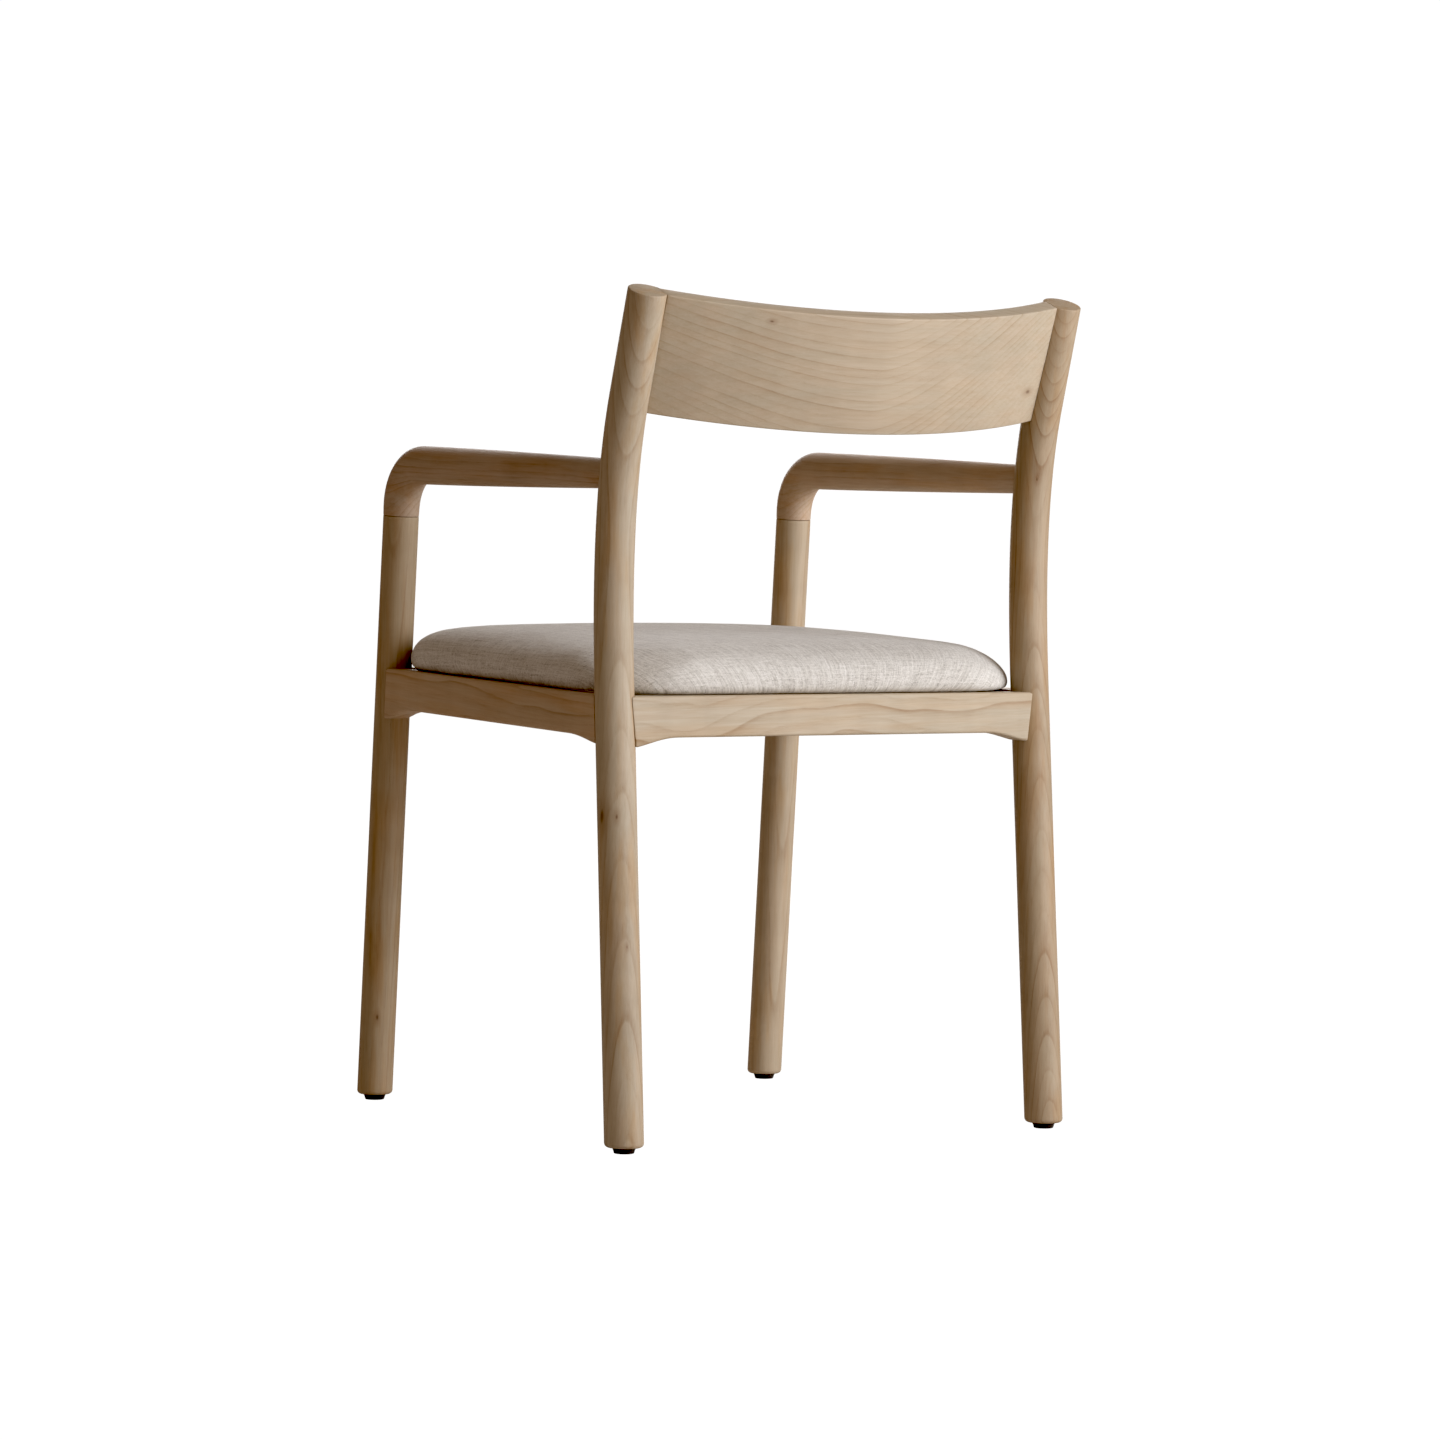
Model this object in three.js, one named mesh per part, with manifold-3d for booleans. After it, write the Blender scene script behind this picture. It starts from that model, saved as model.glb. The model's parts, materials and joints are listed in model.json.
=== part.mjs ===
// Wooden armchair: round ash posts and legs, a bent crest panel, bent arms and an upholstered seat pad.
// Millimetres, +Z up. The sitter faces -Y, so the sitter's left is +X.
// The model is laid out about the middle of the four feet, then centred on its own box at the end.

import * as THREE from 'three';
import { mergeVertices } from 'three/addons/utils/BufferGeometryUtils.js';
import Module from 'manifold-3d';

const wasm = await Module();
wasm.setup();

// ---------------------------------------------------------------- driving dimensions

const GAP = 0.3; // clearance kept between pieces that touch

const POST_RADIUS = 18.5;
const LEG_RADIUS = 17.6;
const FOOT_BOTTOM = 5.5; // height of the wood above the floor; the glide fills it
const FOOT_ROUNDING = 4;
const FOOT_TRIM = 1.6; // length cut off the tilted foot to make its underside level

// Rear post centreline: distance x from the middle, depth y and height z.
const POST_FOOT = { x: 237, y: 246.4 };
const POST_TOP_X = 232.6;
const POST_BEND_START = { y: 214, z: 430 };
const POST_BEND_END = { y: 231.5, z: 697 };
const POST_RAKE = THREE.MathUtils.degToRad(4.3); // lower part, foot set back
const POST_LEAN = THREE.MathUtils.degToRad(16.8); // upper part, leaning back
const POST_BEND_PULL = { lower: 130, upper: 60 }; // how far each straight part leads into the bend
const POST_END_Z = 800;
const POST_TRIM = 120; // rise of the straight upper part before it is cut flush with the crest panel

// Front leg centreline, raked forward, up to its joint under the arm's bend.
const LEG_FOOT = { x: 230.5, y: -246.4 };
const LEG_RAKE = 0.0713; // y per z
const ARM_JOINT_Z = 582;

// Arm: a round bar that tapers from the bend to the rear post.
const ARM_AXIS_Z = 629.6; // height of its centreline at y = 0
const ARM_FALL = 0.0162; // z lost per y, towards the back
const ARM_REAR_Y = 215; // inside the rear post; the arm is shaped to the post's surface
const ARM_BEND_RADIUS = 45;
const ARM_RADIUS_BEND = 18.8;
const ARM_BEND_SWELL = 0.3; // extra radius in the middle of the bend
const ARM_RADIUS_REAR = 13.6;
const ARM_TAPER_POWER = 1.4; // above 1 the taper is quicker towards the back

// Crest panel: an arc in plan, leaned back as a whole.
const PANEL_LEAN = THREE.MathUtils.degToRad(20);
const PANEL_TOP_EDGE = { y: 273.4, z: 790 }; // rear top corner at the panel's ends
const PANEL_END_X = 218.4;
const PANEL_BULGE = 49;
const PANEL_THICKNESS = 19.5;
const PANEL_HEIGHT = 114.7;
const PANEL_EDGE_ROUNDING = 1.5;

// Seat rails.
const SEAT_Z = 426.5; // top of the seat frame at y = 0
const SEAT_FALL = 0.0245; // z lost per y, towards the back
const RAIL_HEIGHT = 38.8;
const RAIL_THICKNESS = 25;
const RAIL_INSET = 2.6; // outer face inside the post's outermost line
const RAIL_ROUNDING = 2.5;
const FLARE_LENGTH = 52;
const FLARE_DROP = { cross: 9.6, sideFront: 11.5, sideRear: 6.4 };

// Joinery.
const TENON = { length: 30, height: 24, thickness: 9 };
const ARM_DOWEL = { radius: 6, length: 40 };
const PANEL_DOWEL = { radius: 4.5, length: 32 };
const BLOCK_HEIGHT = 28;
const BLOCK_REACH = 62; // along each rail from the inner corner of the seat frame

// Seat pad.
const PAD_HALF_WIDTH = 240;
const PAD_FRONT = -228;
const PAD_REAR = 228;
const PAD_CORNER = 84; // radius of the pad's corners in plan, which keeps them clear of the posts and legs
const PAD_CROWN = 49.3; // top of the pad over the seat frame
const BOARD_THICKNESS = 10;
const FABRIC = 1.2;

const GLIDE = { top: 11, bottom: 9.2, height: 5.1 };

// ---------------------------------------------------------------- materials

function material(color, roughness, metalness = 0) {
  return new THREE.MeshStandardMaterial({ color, roughness, metalness });
}

const ash = material('#c3ad8c', 0.55);
const beech = material('#cdb48c', 0.6);
const plywood = material('#c2a57c', 0.65);
const linen = material('#c2b8ac', 0.95);
const foam = material('#e6dfc8', 0.9);
const cambric = material('#26262a', 0.95);
const blackPlastic = material('#17171a', 0.5);
const steel = material('#9a9ca0', 0.35, 1);

const chair = new THREE.Group();

function add(name, geometry, surface) {
  geometry.computeVertexNormals();
  const mesh = new THREE.Mesh(geometry, surface);
  mesh.name = name;
  chair.add(mesh);
}

// ---------------------------------------------------------------- solids

function toSolid(geometry) {
  const bare = geometry.clone();
  bare.deleteAttribute('normal');
  bare.deleteAttribute('uv');
  const merged = mergeVertices(bare, 1e-3);
  return new wasm.Manifold(new wasm.Mesh({
    numProp: 3,
    vertProperties: new Float32Array(merged.attributes.position.array),
    triVerts: new Uint32Array(merged.index.array),
  }));
}

function toGeometry(solid) {
  const mesh = solid.getMesh();
  const geometry = new THREE.BufferGeometry();
  geometry.setAttribute('position', new THREE.BufferAttribute(new Float32Array(mesh.vertProperties), 3));
  geometry.setIndex(new THREE.BufferAttribute(new Uint32Array(mesh.triVerts), 1));
  return geometry;
}

function cut(geometry, tools) {
  let solid = toSolid(geometry);
  for (const tool of tools) {
    solid = solid.subtract(toSolid(tool));
  }
  return toGeometry(solid);
}

const AXIS_X = new THREE.Vector3(1, 0, 0);
const AXIS_Y = new THREE.Vector3(0, 1, 0);

// A round bar along a path: one ring of vertices at each station, a distance along the path.
function bar(path, stations, radiusAt, sides) {
  const geometry = new THREE.CylinderGeometry(1, 1, 1, sides, stations.length - 1);
  const position = geometry.attributes.position;
  const length = path.getLength();
  const vertex = new THREE.Vector3();
  for (let i = 0; i < position.count; i += 1) {
    vertex.fromBufferAttribute(position, i);
    const distance = stations[Math.round((vertex.y + 0.5) * (stations.length - 1))];
    const tangent = path.getTangentAt(distance / length);
    const side = AXIS_X.clone().addScaledVector(tangent, -tangent.x).normalize();
    const depth = new THREE.Vector3().crossVectors(side, tangent);
    const radius = radiusAt(distance);
    const point = path.getPointAt(distance / length)
      .addScaledVector(side, vertex.x * radius)
      .addScaledVector(depth, vertex.z * radius);
    position.setXYZ(i, point.x, point.y, point.z);
  }
  return geometry;
}

// A pin with its middle at a point, lying along a direction.
function pin(centre, direction, radius, length, sides = 12) {
  const turn = new THREE.Quaternion().setFromUnitVectors(AXIS_Y, direction.clone().normalize());
  return new THREE.CylinderGeometry(radius, radius, length, sides)
    .applyQuaternion(turn)
    .translate(centre.x, centre.y, centre.z);
}

function turned(profile, sides) {
  const points = profile.map(([r, z]) => new THREE.Vector2(r, z));
  return new THREE.LatheGeometry(points, sides).rotateX(Math.PI / 2);
}

function roundedFoot(radius, distance) {
  const rise = THREE.MathUtils.clamp((distance - FOOT_TRIM) / FOOT_ROUNDING, 0, 1);
  return radius - FOOT_ROUNDING * (1 - Math.sqrt(1 - (1 - rise) ** 2));
}

const footStations = [0, FOOT_TRIM, FOOT_TRIM + 0.6, FOOT_TRIM + 2.2, FOOT_TRIM + FOOT_ROUNDING];

// Everything below the underside of the feet.
function belowFeet() {
  const size = 700;
  return new THREE.BoxGeometry(size, size, size).translate(0, 0, FOOT_BOTTOM - size / 2);
}

// ---------------------------------------------------------------- posts and legs

function postX(z) {
  return THREE.MathUtils.lerp(POST_FOOT.x, POST_TOP_X, z / POST_END_Z);
}

function postPath(side) {
  const at = (y, z) => new THREE.Vector3(side * postX(z), y, z);
  const foot = postCentre(side, FOOT_BOTTOM - FOOT_TRIM);
  const start = at(POST_BEND_START.y, POST_BEND_START.z);
  const end = at(POST_BEND_END.y, POST_BEND_END.z);
  const { lower, upper } = POST_BEND_PULL;
  const first = at(start.y - lower * Math.sin(POST_RAKE), start.z + lower * Math.cos(POST_RAKE));
  const second = at(end.y - upper * Math.sin(POST_LEAN), end.z - upper * Math.cos(POST_LEAN));
  const tip = at(end.y + POST_TRIM * Math.tan(POST_LEAN), end.z + POST_TRIM);
  const path = new THREE.CurvePath();
  path.add(new THREE.LineCurve3(foot, start));
  path.add(new THREE.CubicBezierCurve3(start, first, second, end));
  path.add(new THREE.LineCurve3(end, tip));
  return path;
}

function postBar(side, growth = 0) {
  const path = postPath(side);
  const [straight, bent, total] = path.getCurveLengths();
  const stations = [...footStations, straight];
  const bends = 8;
  for (let i = 1; i <= bends; i += 1) {
    stations.push(THREE.MathUtils.lerp(straight, bent, i / bends));
  }
  stations.push(total);
  return bar(path, stations, (d) => roundedFoot(POST_RADIUS, d) + growth, 20);
}

// The post's centre at a height, on its straight lower part.
function postCentre(side, z) {
  return new THREE.Vector3(side * postX(z), POST_FOOT.y - z * Math.tan(POST_RAKE), z);
}

function legCentre(side, z) {
  return new THREE.Vector3(side * LEG_FOOT.x, LEG_FOOT.y + z * LEG_RAKE, z);
}

function legBar(side, growth = 0, top = ARM_JOINT_Z) {
  const path = new THREE.LineCurve3(legCentre(side, FOOT_BOTTOM - FOOT_TRIM), legCentre(side, top));
  const stations = [...footStations, path.getLength()];
  return bar(path, stations, (d) => roundedFoot(LEG_RADIUS, d) + growth, 20);
}

// ---------------------------------------------------------------- arms

const legDirection = new THREE.Vector3(0, LEG_RAKE, 1).normalize();
const armDirection = new THREE.Vector3(0, 1, -ARM_FALL).normalize();

function armPath(side) {
  const cornerZ = (ARM_AXIS_Z - ARM_FALL * LEG_FOOT.y) / (1 + ARM_FALL * LEG_RAKE);
  const corner = legCentre(side, cornerZ);
  const turn = legDirection.angleTo(armDirection);
  const reach = ARM_BEND_RADIUS * Math.tan(turn / 2);
  const pull = (4 / 3) * Math.tan(turn / 4) * ARM_BEND_RADIUS;
  const start = corner.clone().addScaledVector(legDirection, -reach);
  const end = corner.clone().addScaledVector(armDirection, reach);
  const rearZ = ARM_AXIS_Z - ARM_FALL * ARM_REAR_Y;
  const rear = new THREE.Vector3(side * postX(rearZ), ARM_REAR_Y, rearZ);
  const path = new THREE.CurvePath();
  path.add(new THREE.LineCurve3(legCentre(side, ARM_JOINT_Z + GAP), start));
  path.add(new THREE.CubicBezierCurve3(
    start,
    start.clone().addScaledVector(legDirection, pull),
    end.clone().addScaledVector(armDirection, -pull),
    end,
  ));
  path.add(new THREE.LineCurve3(end, rear));
  return path;
}

// Radius of the arm: it swells through the bend, which ends at `bent`, then tapers to the rear post.
function armRadius(distance, bent, total) {
  if (distance < bent) {
    const share = distance / bent;
    const swell = ARM_BEND_SWELL * Math.sin(Math.PI * share);
    return THREE.MathUtils.lerp(LEG_RADIUS, ARM_RADIUS_BEND, share) + swell;
  }
  const share = ((distance - bent) / (total - bent)) ** ARM_TAPER_POWER;
  return THREE.MathUtils.lerp(ARM_RADIUS_BEND, ARM_RADIUS_REAR, share);
}

function armBar(side) {
  const path = armPath(side);
  const [straight, bent, total] = path.getCurveLengths();
  const stations = [0, straight];
  const bends = 9;
  for (let i = 1; i <= bends; i += 1) {
    stations.push(THREE.MathUtils.lerp(straight, bent, i / bends));
  }
  for (const share of [0.35, 0.7, 1]) {
    stations.push(THREE.MathUtils.lerp(bent, total, share));
  }
  return bar(path, stations, (d) => armRadius(d, bent, total), 20);
}

function armFrontDowel(side, growth = 0) {
  return pin(
    legCentre(side, ARM_JOINT_Z),
    legDirection,
    ARM_DOWEL.radius + growth,
    ARM_DOWEL.length + 2 * growth,
  );
}

function armRearDowel(side, growth = 0) {
  const y = ARM_REAR_Y - ARM_DOWEL.length / 2 - 4;
  const z = ARM_AXIS_Z - ARM_FALL * y;
  const centre = new THREE.Vector3(side * postX(z), y, z);
  return pin(centre, armDirection, ARM_DOWEL.radius + growth, ARM_DOWEL.length + 2 * growth);
}

// ---------------------------------------------------------------- crest panel

const panelRadius = (PANEL_END_X ** 2 + PANEL_BULGE ** 2) / (2 * PANEL_BULGE);
const panelCentreY = PANEL_BULGE - panelRadius;

// From the panel's own frame (x across, y to the rear, z up its height, top edge at 0) to the chair's.
function placePanel(geometry) {
  return geometry.rotateX(-PANEL_LEAN).translate(0, PANEL_TOP_EDGE.y, PANEL_TOP_EDGE.z);
}

function panelSlab(growth, top, rounding) {
  const end = PANEL_END_X + growth;
  const rear = panelRadius + growth;
  const front = panelRadius - PANEL_THICKNESS - growth;
  const rearAngle = Math.asin(end / rear);
  const frontAngle = Math.asin(end / front);
  const quarter = Math.PI / 2;
  const shape = new THREE.Shape();
  shape.absarc(0, panelCentreY, rear, quarter - rearAngle, quarter + rearAngle, false);
  shape.absarc(0, panelCentreY, front, quarter + frontAngle, quarter - frontAngle, true);
  shape.closePath();
  const bottom = -PANEL_HEIGHT - growth;
  const slab = new THREE.ExtrudeGeometry(shape, {
    depth: top - bottom - 2 * rounding,
    curveSegments: 12,
    bevelEnabled: rounding > 0,
    bevelThickness: rounding,
    bevelSize: rounding,
    bevelOffset: -rounding,
    bevelSegments: 2,
  });
  return placePanel(slab.translate(0, 0, bottom + rounding));
}

// A dowel along the panel's own curve at its end, two at each end.
function panelDowel(side, level, growth = 0) {
  const radius = panelRadius - PANEL_THICKNESS / 2;
  const angle = Math.asin(PANEL_END_X / radius);
  const direction = new THREE.Vector3(side * Math.cos(angle), -Math.sin(angle), 0);
  const centre = new THREE.Vector3(side * PANEL_END_X, panelCentreY + radius * Math.cos(angle), level)
    .addScaledVector(direction, -4);
  const dowel = pin(
    centre,
    direction,
    PANEL_DOWEL.radius + growth,
    PANEL_DOWEL.length + 2 * growth,
    10,
  );
  return placePanel(dowel);
}

const panelDowelLevels = { upper: -28, lower: -86 };

// Everything above the plane of the panel's top face, used to trim the posts flush with it.
function aboveTop() {
  const size = 200;
  return placePanel(new THREE.BoxGeometry(4 * size, size, size).translate(0, 0, size / 2));
}

// ---------------------------------------------------------------- seat rails

const frameTop = (y) => SEAT_Z - SEAT_FALL * y;
const seatSlope = Math.atan(SEAT_FALL);

const rearCorner = postCentre(1, frameTop(216) - RAIL_HEIGHT / 2);
const frontCorner = legCentre(1, frameTop(-217) - RAIL_HEIGHT / 2);
const rearFace = rearCorner.y + POST_RADIUS - RAIL_INSET;
const frontFace = frontCorner.y - LEG_RADIUS + RAIL_INSET;
const sideFaceRear = rearCorner.x + POST_RADIUS - RAIL_INSET;
const sideFaceFront = frontCorner.x + LEG_RADIUS - RAIL_INSET;
const sideLength = rearCorner.y - frontCorner.y;
const splay = Math.atan((sideFaceRear - sideFaceFront) / sideLength);
const sideMiddleY = (rearCorner.y + frontCorner.y) / 2;

function sideFaceX(y) {
  return THREE.MathUtils.mapLinear(y, frontCorner.y, rearCorner.y, sideFaceFront, sideFaceRear);
}

// Half of the leg's width where a rail's outer face meets it.
const junctionInset = Math.sqrt(RAIL_INSET * (2 * POST_RADIUS - RAIL_INSET));

// Side view of a rail: straight, with its lower edge flaring down into the leg at both ends.
function railOutline(length, startDrop, endDrop) {
  const end = length / 2;
  const junction = end - junctionInset;
  const shoulder = junction - FLARE_LENGTH;
  const startLow = -RAIL_HEIGHT - startDrop;
  const endLow = -RAIL_HEIGHT - endDrop;
  const pull = 0.4 * FLARE_LENGTH;
  const shape = new THREE.Shape();
  shape.moveTo(-end, 0);
  shape.lineTo(-end, startLow);
  shape.lineTo(-junction, startLow);
  shape.bezierCurveTo(
    -junction + 0.8 * pull, startLow + 2,
    -shoulder - pull, -RAIL_HEIGHT,
    -shoulder, -RAIL_HEIGHT,
  );
  shape.lineTo(shoulder, -RAIL_HEIGHT);
  shape.bezierCurveTo(
    shoulder + pull, -RAIL_HEIGHT,
    junction - 0.8 * pull, endLow + 2,
    junction, endLow,
  );
  shape.lineTo(end, endLow);
  shape.lineTo(end, 0);
  shape.closePath();
  return shape;
}

// A rail with its top at z = 0 and its middle at the origin, running along X.
function rail(length, startDrop, endDrop) {
  return new THREE.ExtrudeGeometry(railOutline(length, startDrop, endDrop), {
    depth: RAIL_THICKNESS - 2 * RAIL_ROUNDING,
    curveSegments: 5,
    bevelThickness: RAIL_ROUNDING,
    bevelSize: RAIL_ROUNDING,
    bevelOffset: -RAIL_ROUNDING,
    bevelSegments: 2,
  })
    .translate(0, 0, RAIL_ROUNDING - RAIL_THICKNESS / 2)
    .rotateX(Math.PI / 2);
}

const half = RAIL_THICKNESS / 2;

function rearRail() {
  const y = rearFace - half;
  return rail(2 * rearCorner.x, FLARE_DROP.cross, FLARE_DROP.cross).translate(0, y, frameTop(y));
}

function frontRail() {
  const y = frontFace + half;
  return rail(2 * frontCorner.x, FLARE_DROP.cross, FLARE_DROP.cross).translate(0, y, frameTop(y));
}

function sideRail(side) {
  return rail(sideLength, FLARE_DROP.sideFront, FLARE_DROP.sideRear)
    .rotateY(seatSlope)
    .rotateZ(Math.PI / 2 - side * splay)
    .translate(side * (sideFaceX(sideMiddleY) - half), sideMiddleY, frameTop(sideMiddleY));
}

// Loose tenons: a flat bar with round edges, half in the rail and half in the leg.
function tenon(x, y, alongX, growth = 0) {
  const radius = TENON.thickness / 2 + growth;
  const rise = (TENON.height - TENON.thickness) / 2;
  const shape = new THREE.Shape();
  shape.absarc(0, rise, radius, 0, Math.PI, false);
  shape.absarc(0, -rise, radius, Math.PI, 2 * Math.PI, false);
  shape.closePath();
  const length = TENON.length + 2 * growth;
  const key = new THREE.ExtrudeGeometry(shape, { depth: length, curveSegments: 4, bevelEnabled: false })
    .translate(0, 0, -length / 2)
    .rotateX(Math.PI / 2);
  if (alongX) {
    key.rotateZ(Math.PI / 2);
  }
  return key.translate(x, y, frameTop(y) - RAIL_HEIGHT / 2);
}

const tenonReach = 19; // from the leg's centreline to the tenon's middle

// The four corners of the seat frame: each has two tenons, one block, two rail screws and a seat screw.
const corners = [];
for (const [sideName, side] of [['left', 1], ['right', -1]]) {
  corners.push({
    name: `rear_${sideName}`,
    side,
    end: 1,
    centre: rearCorner,
    face: rearFace,
    leg: (growth) => postBar(side, growth),
  });
  corners.push({
    name: `front_${sideName}`,
    side,
    end: -1,
    centre: frontCorner,
    face: frontFace,
    leg: (growth) => legBar(side, growth),
  });
}

for (const corner of corners) {
  const { side, end, centre, face } = corner;
  corner.crossTenon = (growth) => tenon(side * (centre.x - tenonReach), face - end * half, true, growth);
  const y = centre.y - end * tenonReach;
  corner.sideTenon = (growth) => tenon(side * (sideFaceX(y) - half), y, false, growth);
}

// ---------------------------------------------------------------- corner blocks and screws

const SCREW = { head: 3.7, shank: 1.8, length: 26 };
const HEAD_BORE = 4.6;

// A wood screw with its head's outer face at z = 0, pointing up.
function screw() {
  const { head, shank, length } = SCREW;
  return turned([[0, 0], [head, 0], [head, 1], [shank, 3.2], [shank, length - 4], [0, length]], 8);
}

// The space of a screw: its head's bore downwards and its shank's hole upwards.
function screwHole(below, growth = GAP) {
  const { head, shank, length } = SCREW;
  const narrow = shank + growth;
  return turned([
    [0, -below],
    [HEAD_BORE, -below],
    [HEAD_BORE, 0.5],
    [head, 1.8],
    [narrow, 3.6],
    [narrow, length + growth],
    [0, length + growth],
  ], 8);
}

function innerX(y) {
  return sideFaceX(y) - RAIL_THICKNESS;
}

for (const corner of corners) {
  const { side, end, face } = corner;
  const y = face - end * (RAIL_THICKNESS + GAP);
  const x = Math.min(innerX(y), innerX(y - end * BLOCK_REACH)) - GAP;
  const top = frameTop(Math.max(y, y - end * BLOCK_REACH)) - 1;
  const screwLine = 44; // from the corner of the block to each rail screw
  const headDepth = 14; // wood between a rail screw's head and the rail
  const seatScrewInset = 27;
  const middle = top - BLOCK_HEIGHT / 2;
  corner.plan = { x, y, top };
  corner.crossScrew = (geometry) => geometry
    .rotateX(-end * Math.PI / 2)
    .translate(side * (x - screwLine), y - end * headDepth, middle + 3);
  corner.sideScrew = (geometry) => geometry
    .rotateY(side * Math.PI / 2)
    .translate(side * (x - headDepth), y - end * screwLine, middle - 3);
  corner.seatScrew = (geometry) => geometry
    .translate(side * (x - seatScrewInset), y - end * seatScrewInset, top - 16);
}

function cornerBlock({ side, end, plan, leg, crossScrew, sideScrew, seatScrew }) {
  const nose = 8;
  const outline = [
    [0, 0], [BLOCK_REACH, 0], [BLOCK_REACH, nose], [nose, BLOCK_REACH], [0, BLOCK_REACH],
  ].map(([across, along]) => new THREE.Vector2(side * (plan.x - across), plan.y - end * along));
  const block = new THREE.ExtrudeGeometry(new THREE.Shape(outline), {
    depth: BLOCK_HEIGHT,
    bevelEnabled: false,
  }).translate(0, 0, plan.top - BLOCK_HEIGHT);
  const deep = 40;
  return cut(block, [
    leg(1),
    crossScrew(screwHole(deep)),
    sideScrew(screwHole(deep)),
    seatScrew(screwHole(deep)),
  ]);
}

// ---------------------------------------------------------------- seat pad

function padOutline() {
  const right = PAD_HALF_WIDTH - PAD_CORNER;
  const rear = PAD_REAR - PAD_CORNER;
  const front = PAD_FRONT + PAD_CORNER;
  const path = new THREE.Path();
  path.absarc(right, rear, PAD_CORNER, 0, Math.PI / 2, false);
  path.absarc(-right, rear, PAD_CORNER, Math.PI / 2, Math.PI, false);
  path.absarc(-right, front, PAD_CORNER, Math.PI, 1.5 * Math.PI, false);
  path.absarc(right, front, PAD_CORNER, 1.5 * Math.PI, 2 * Math.PI, false);
  return path.getPoints(7);
}

// A turned profile whose circle is stretched to the pad's plan: [share of the plan, height] pairs.
function padSolid(profile) {
  const outline = padOutline();
  const points = profile.map(([share, height]) => new THREE.Vector2(share, height));
  const geometry = new THREE.LatheGeometry(points, outline.length);
  const position = geometry.attributes.position;
  for (let i = 0; i < position.count; i += 1) {
    const column = (outline.length - Math.floor(i / points.length)) % outline.length;
    const { x: share, y: height } = points[i % points.length];
    position.setXYZ(i, share * outline[column].x, share * outline[column].y, height);
  }
  return geometry.rotateX(-seatSlope).translate(0, 0, SEAT_Z);
}

const crown = [
  [0.975, 0.3], [0.992, 4], [1, 12], [0.986, 23.2], [0.954, 32.6], [0.896, 40], [0.783, 45.6], [0.567, 48.2],
];
const boardBottom = 0.3 + FABRIC + GAP;
const boardTop = boardBottom + BOARD_THICKNESS;
const opening = 0.8; // the cover's opening under the board, as a share of the plan
const boardEdge = 0.966;
const inside = FABRIC / PAD_HALF_WIDTH;

function seatCover() {
  const outer = [...crown].reverse();
  const inner = crown.slice(2).map(([share, height]) => [share - inside, height - FABRIC]);
  return padSolid([
    [0, PAD_CROWN],
    ...outer,
    [opening, 0.3],
    [opening, 0.3 + FABRIC],
    [boardEdge + 0.002, 0.3 + FABRIC],
    ...inner,
    [0, PAD_CROWN - FABRIC],
  ]);
}

function seatFoam() {
  const shrink = 2 * inside;
  const upper = crown.slice(3).map(([share, height]) => [share - shrink, height - 2 * FABRIC]);
  return padSolid([
    [0, boardTop + GAP],
    [boardEdge, boardTop + GAP],
    ...upper,
    [0, PAD_CROWN - 2 * FABRIC],
  ].reverse());
}

function slab(edge, bottom, top) {
  return padSolid([[0, top], [edge, top], [edge, bottom], [0, bottom]]);
}

// ---------------------------------------------------------------- floor glides

const NAIL_LENGTH = 21;

function glide() {
  const { top, bottom, height } = GLIDE;
  return turned([
    [4.2, 0], [bottom, 0], [top, height], [1.6, height], [1.6, 1.8], [4.2, 1.8], [4.2, 0],
  ], 16);
}

function glideNail() {
  return turned([[0, 0.4], [3.8, 0.4], [3.8, 1.4], [1.2, 1.4], [1.2, NAIL_LENGTH - 2], [0, NAIL_LENGTH]], 8);
}

function nailHole() {
  return new THREE.CylinderGeometry(1.6, 1.6, NAIL_LENGTH, 8)
    .rotateX(Math.PI / 2)
    .translate(0, 0, NAIL_LENGTH / 2 + 1);
}

// ---------------------------------------------------------------- assembly

const sides = { left: 1, right: -1 };
const cornersAt = (side, end) => corners.find((corner) => corner.side === side && corner.end === end);

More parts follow.
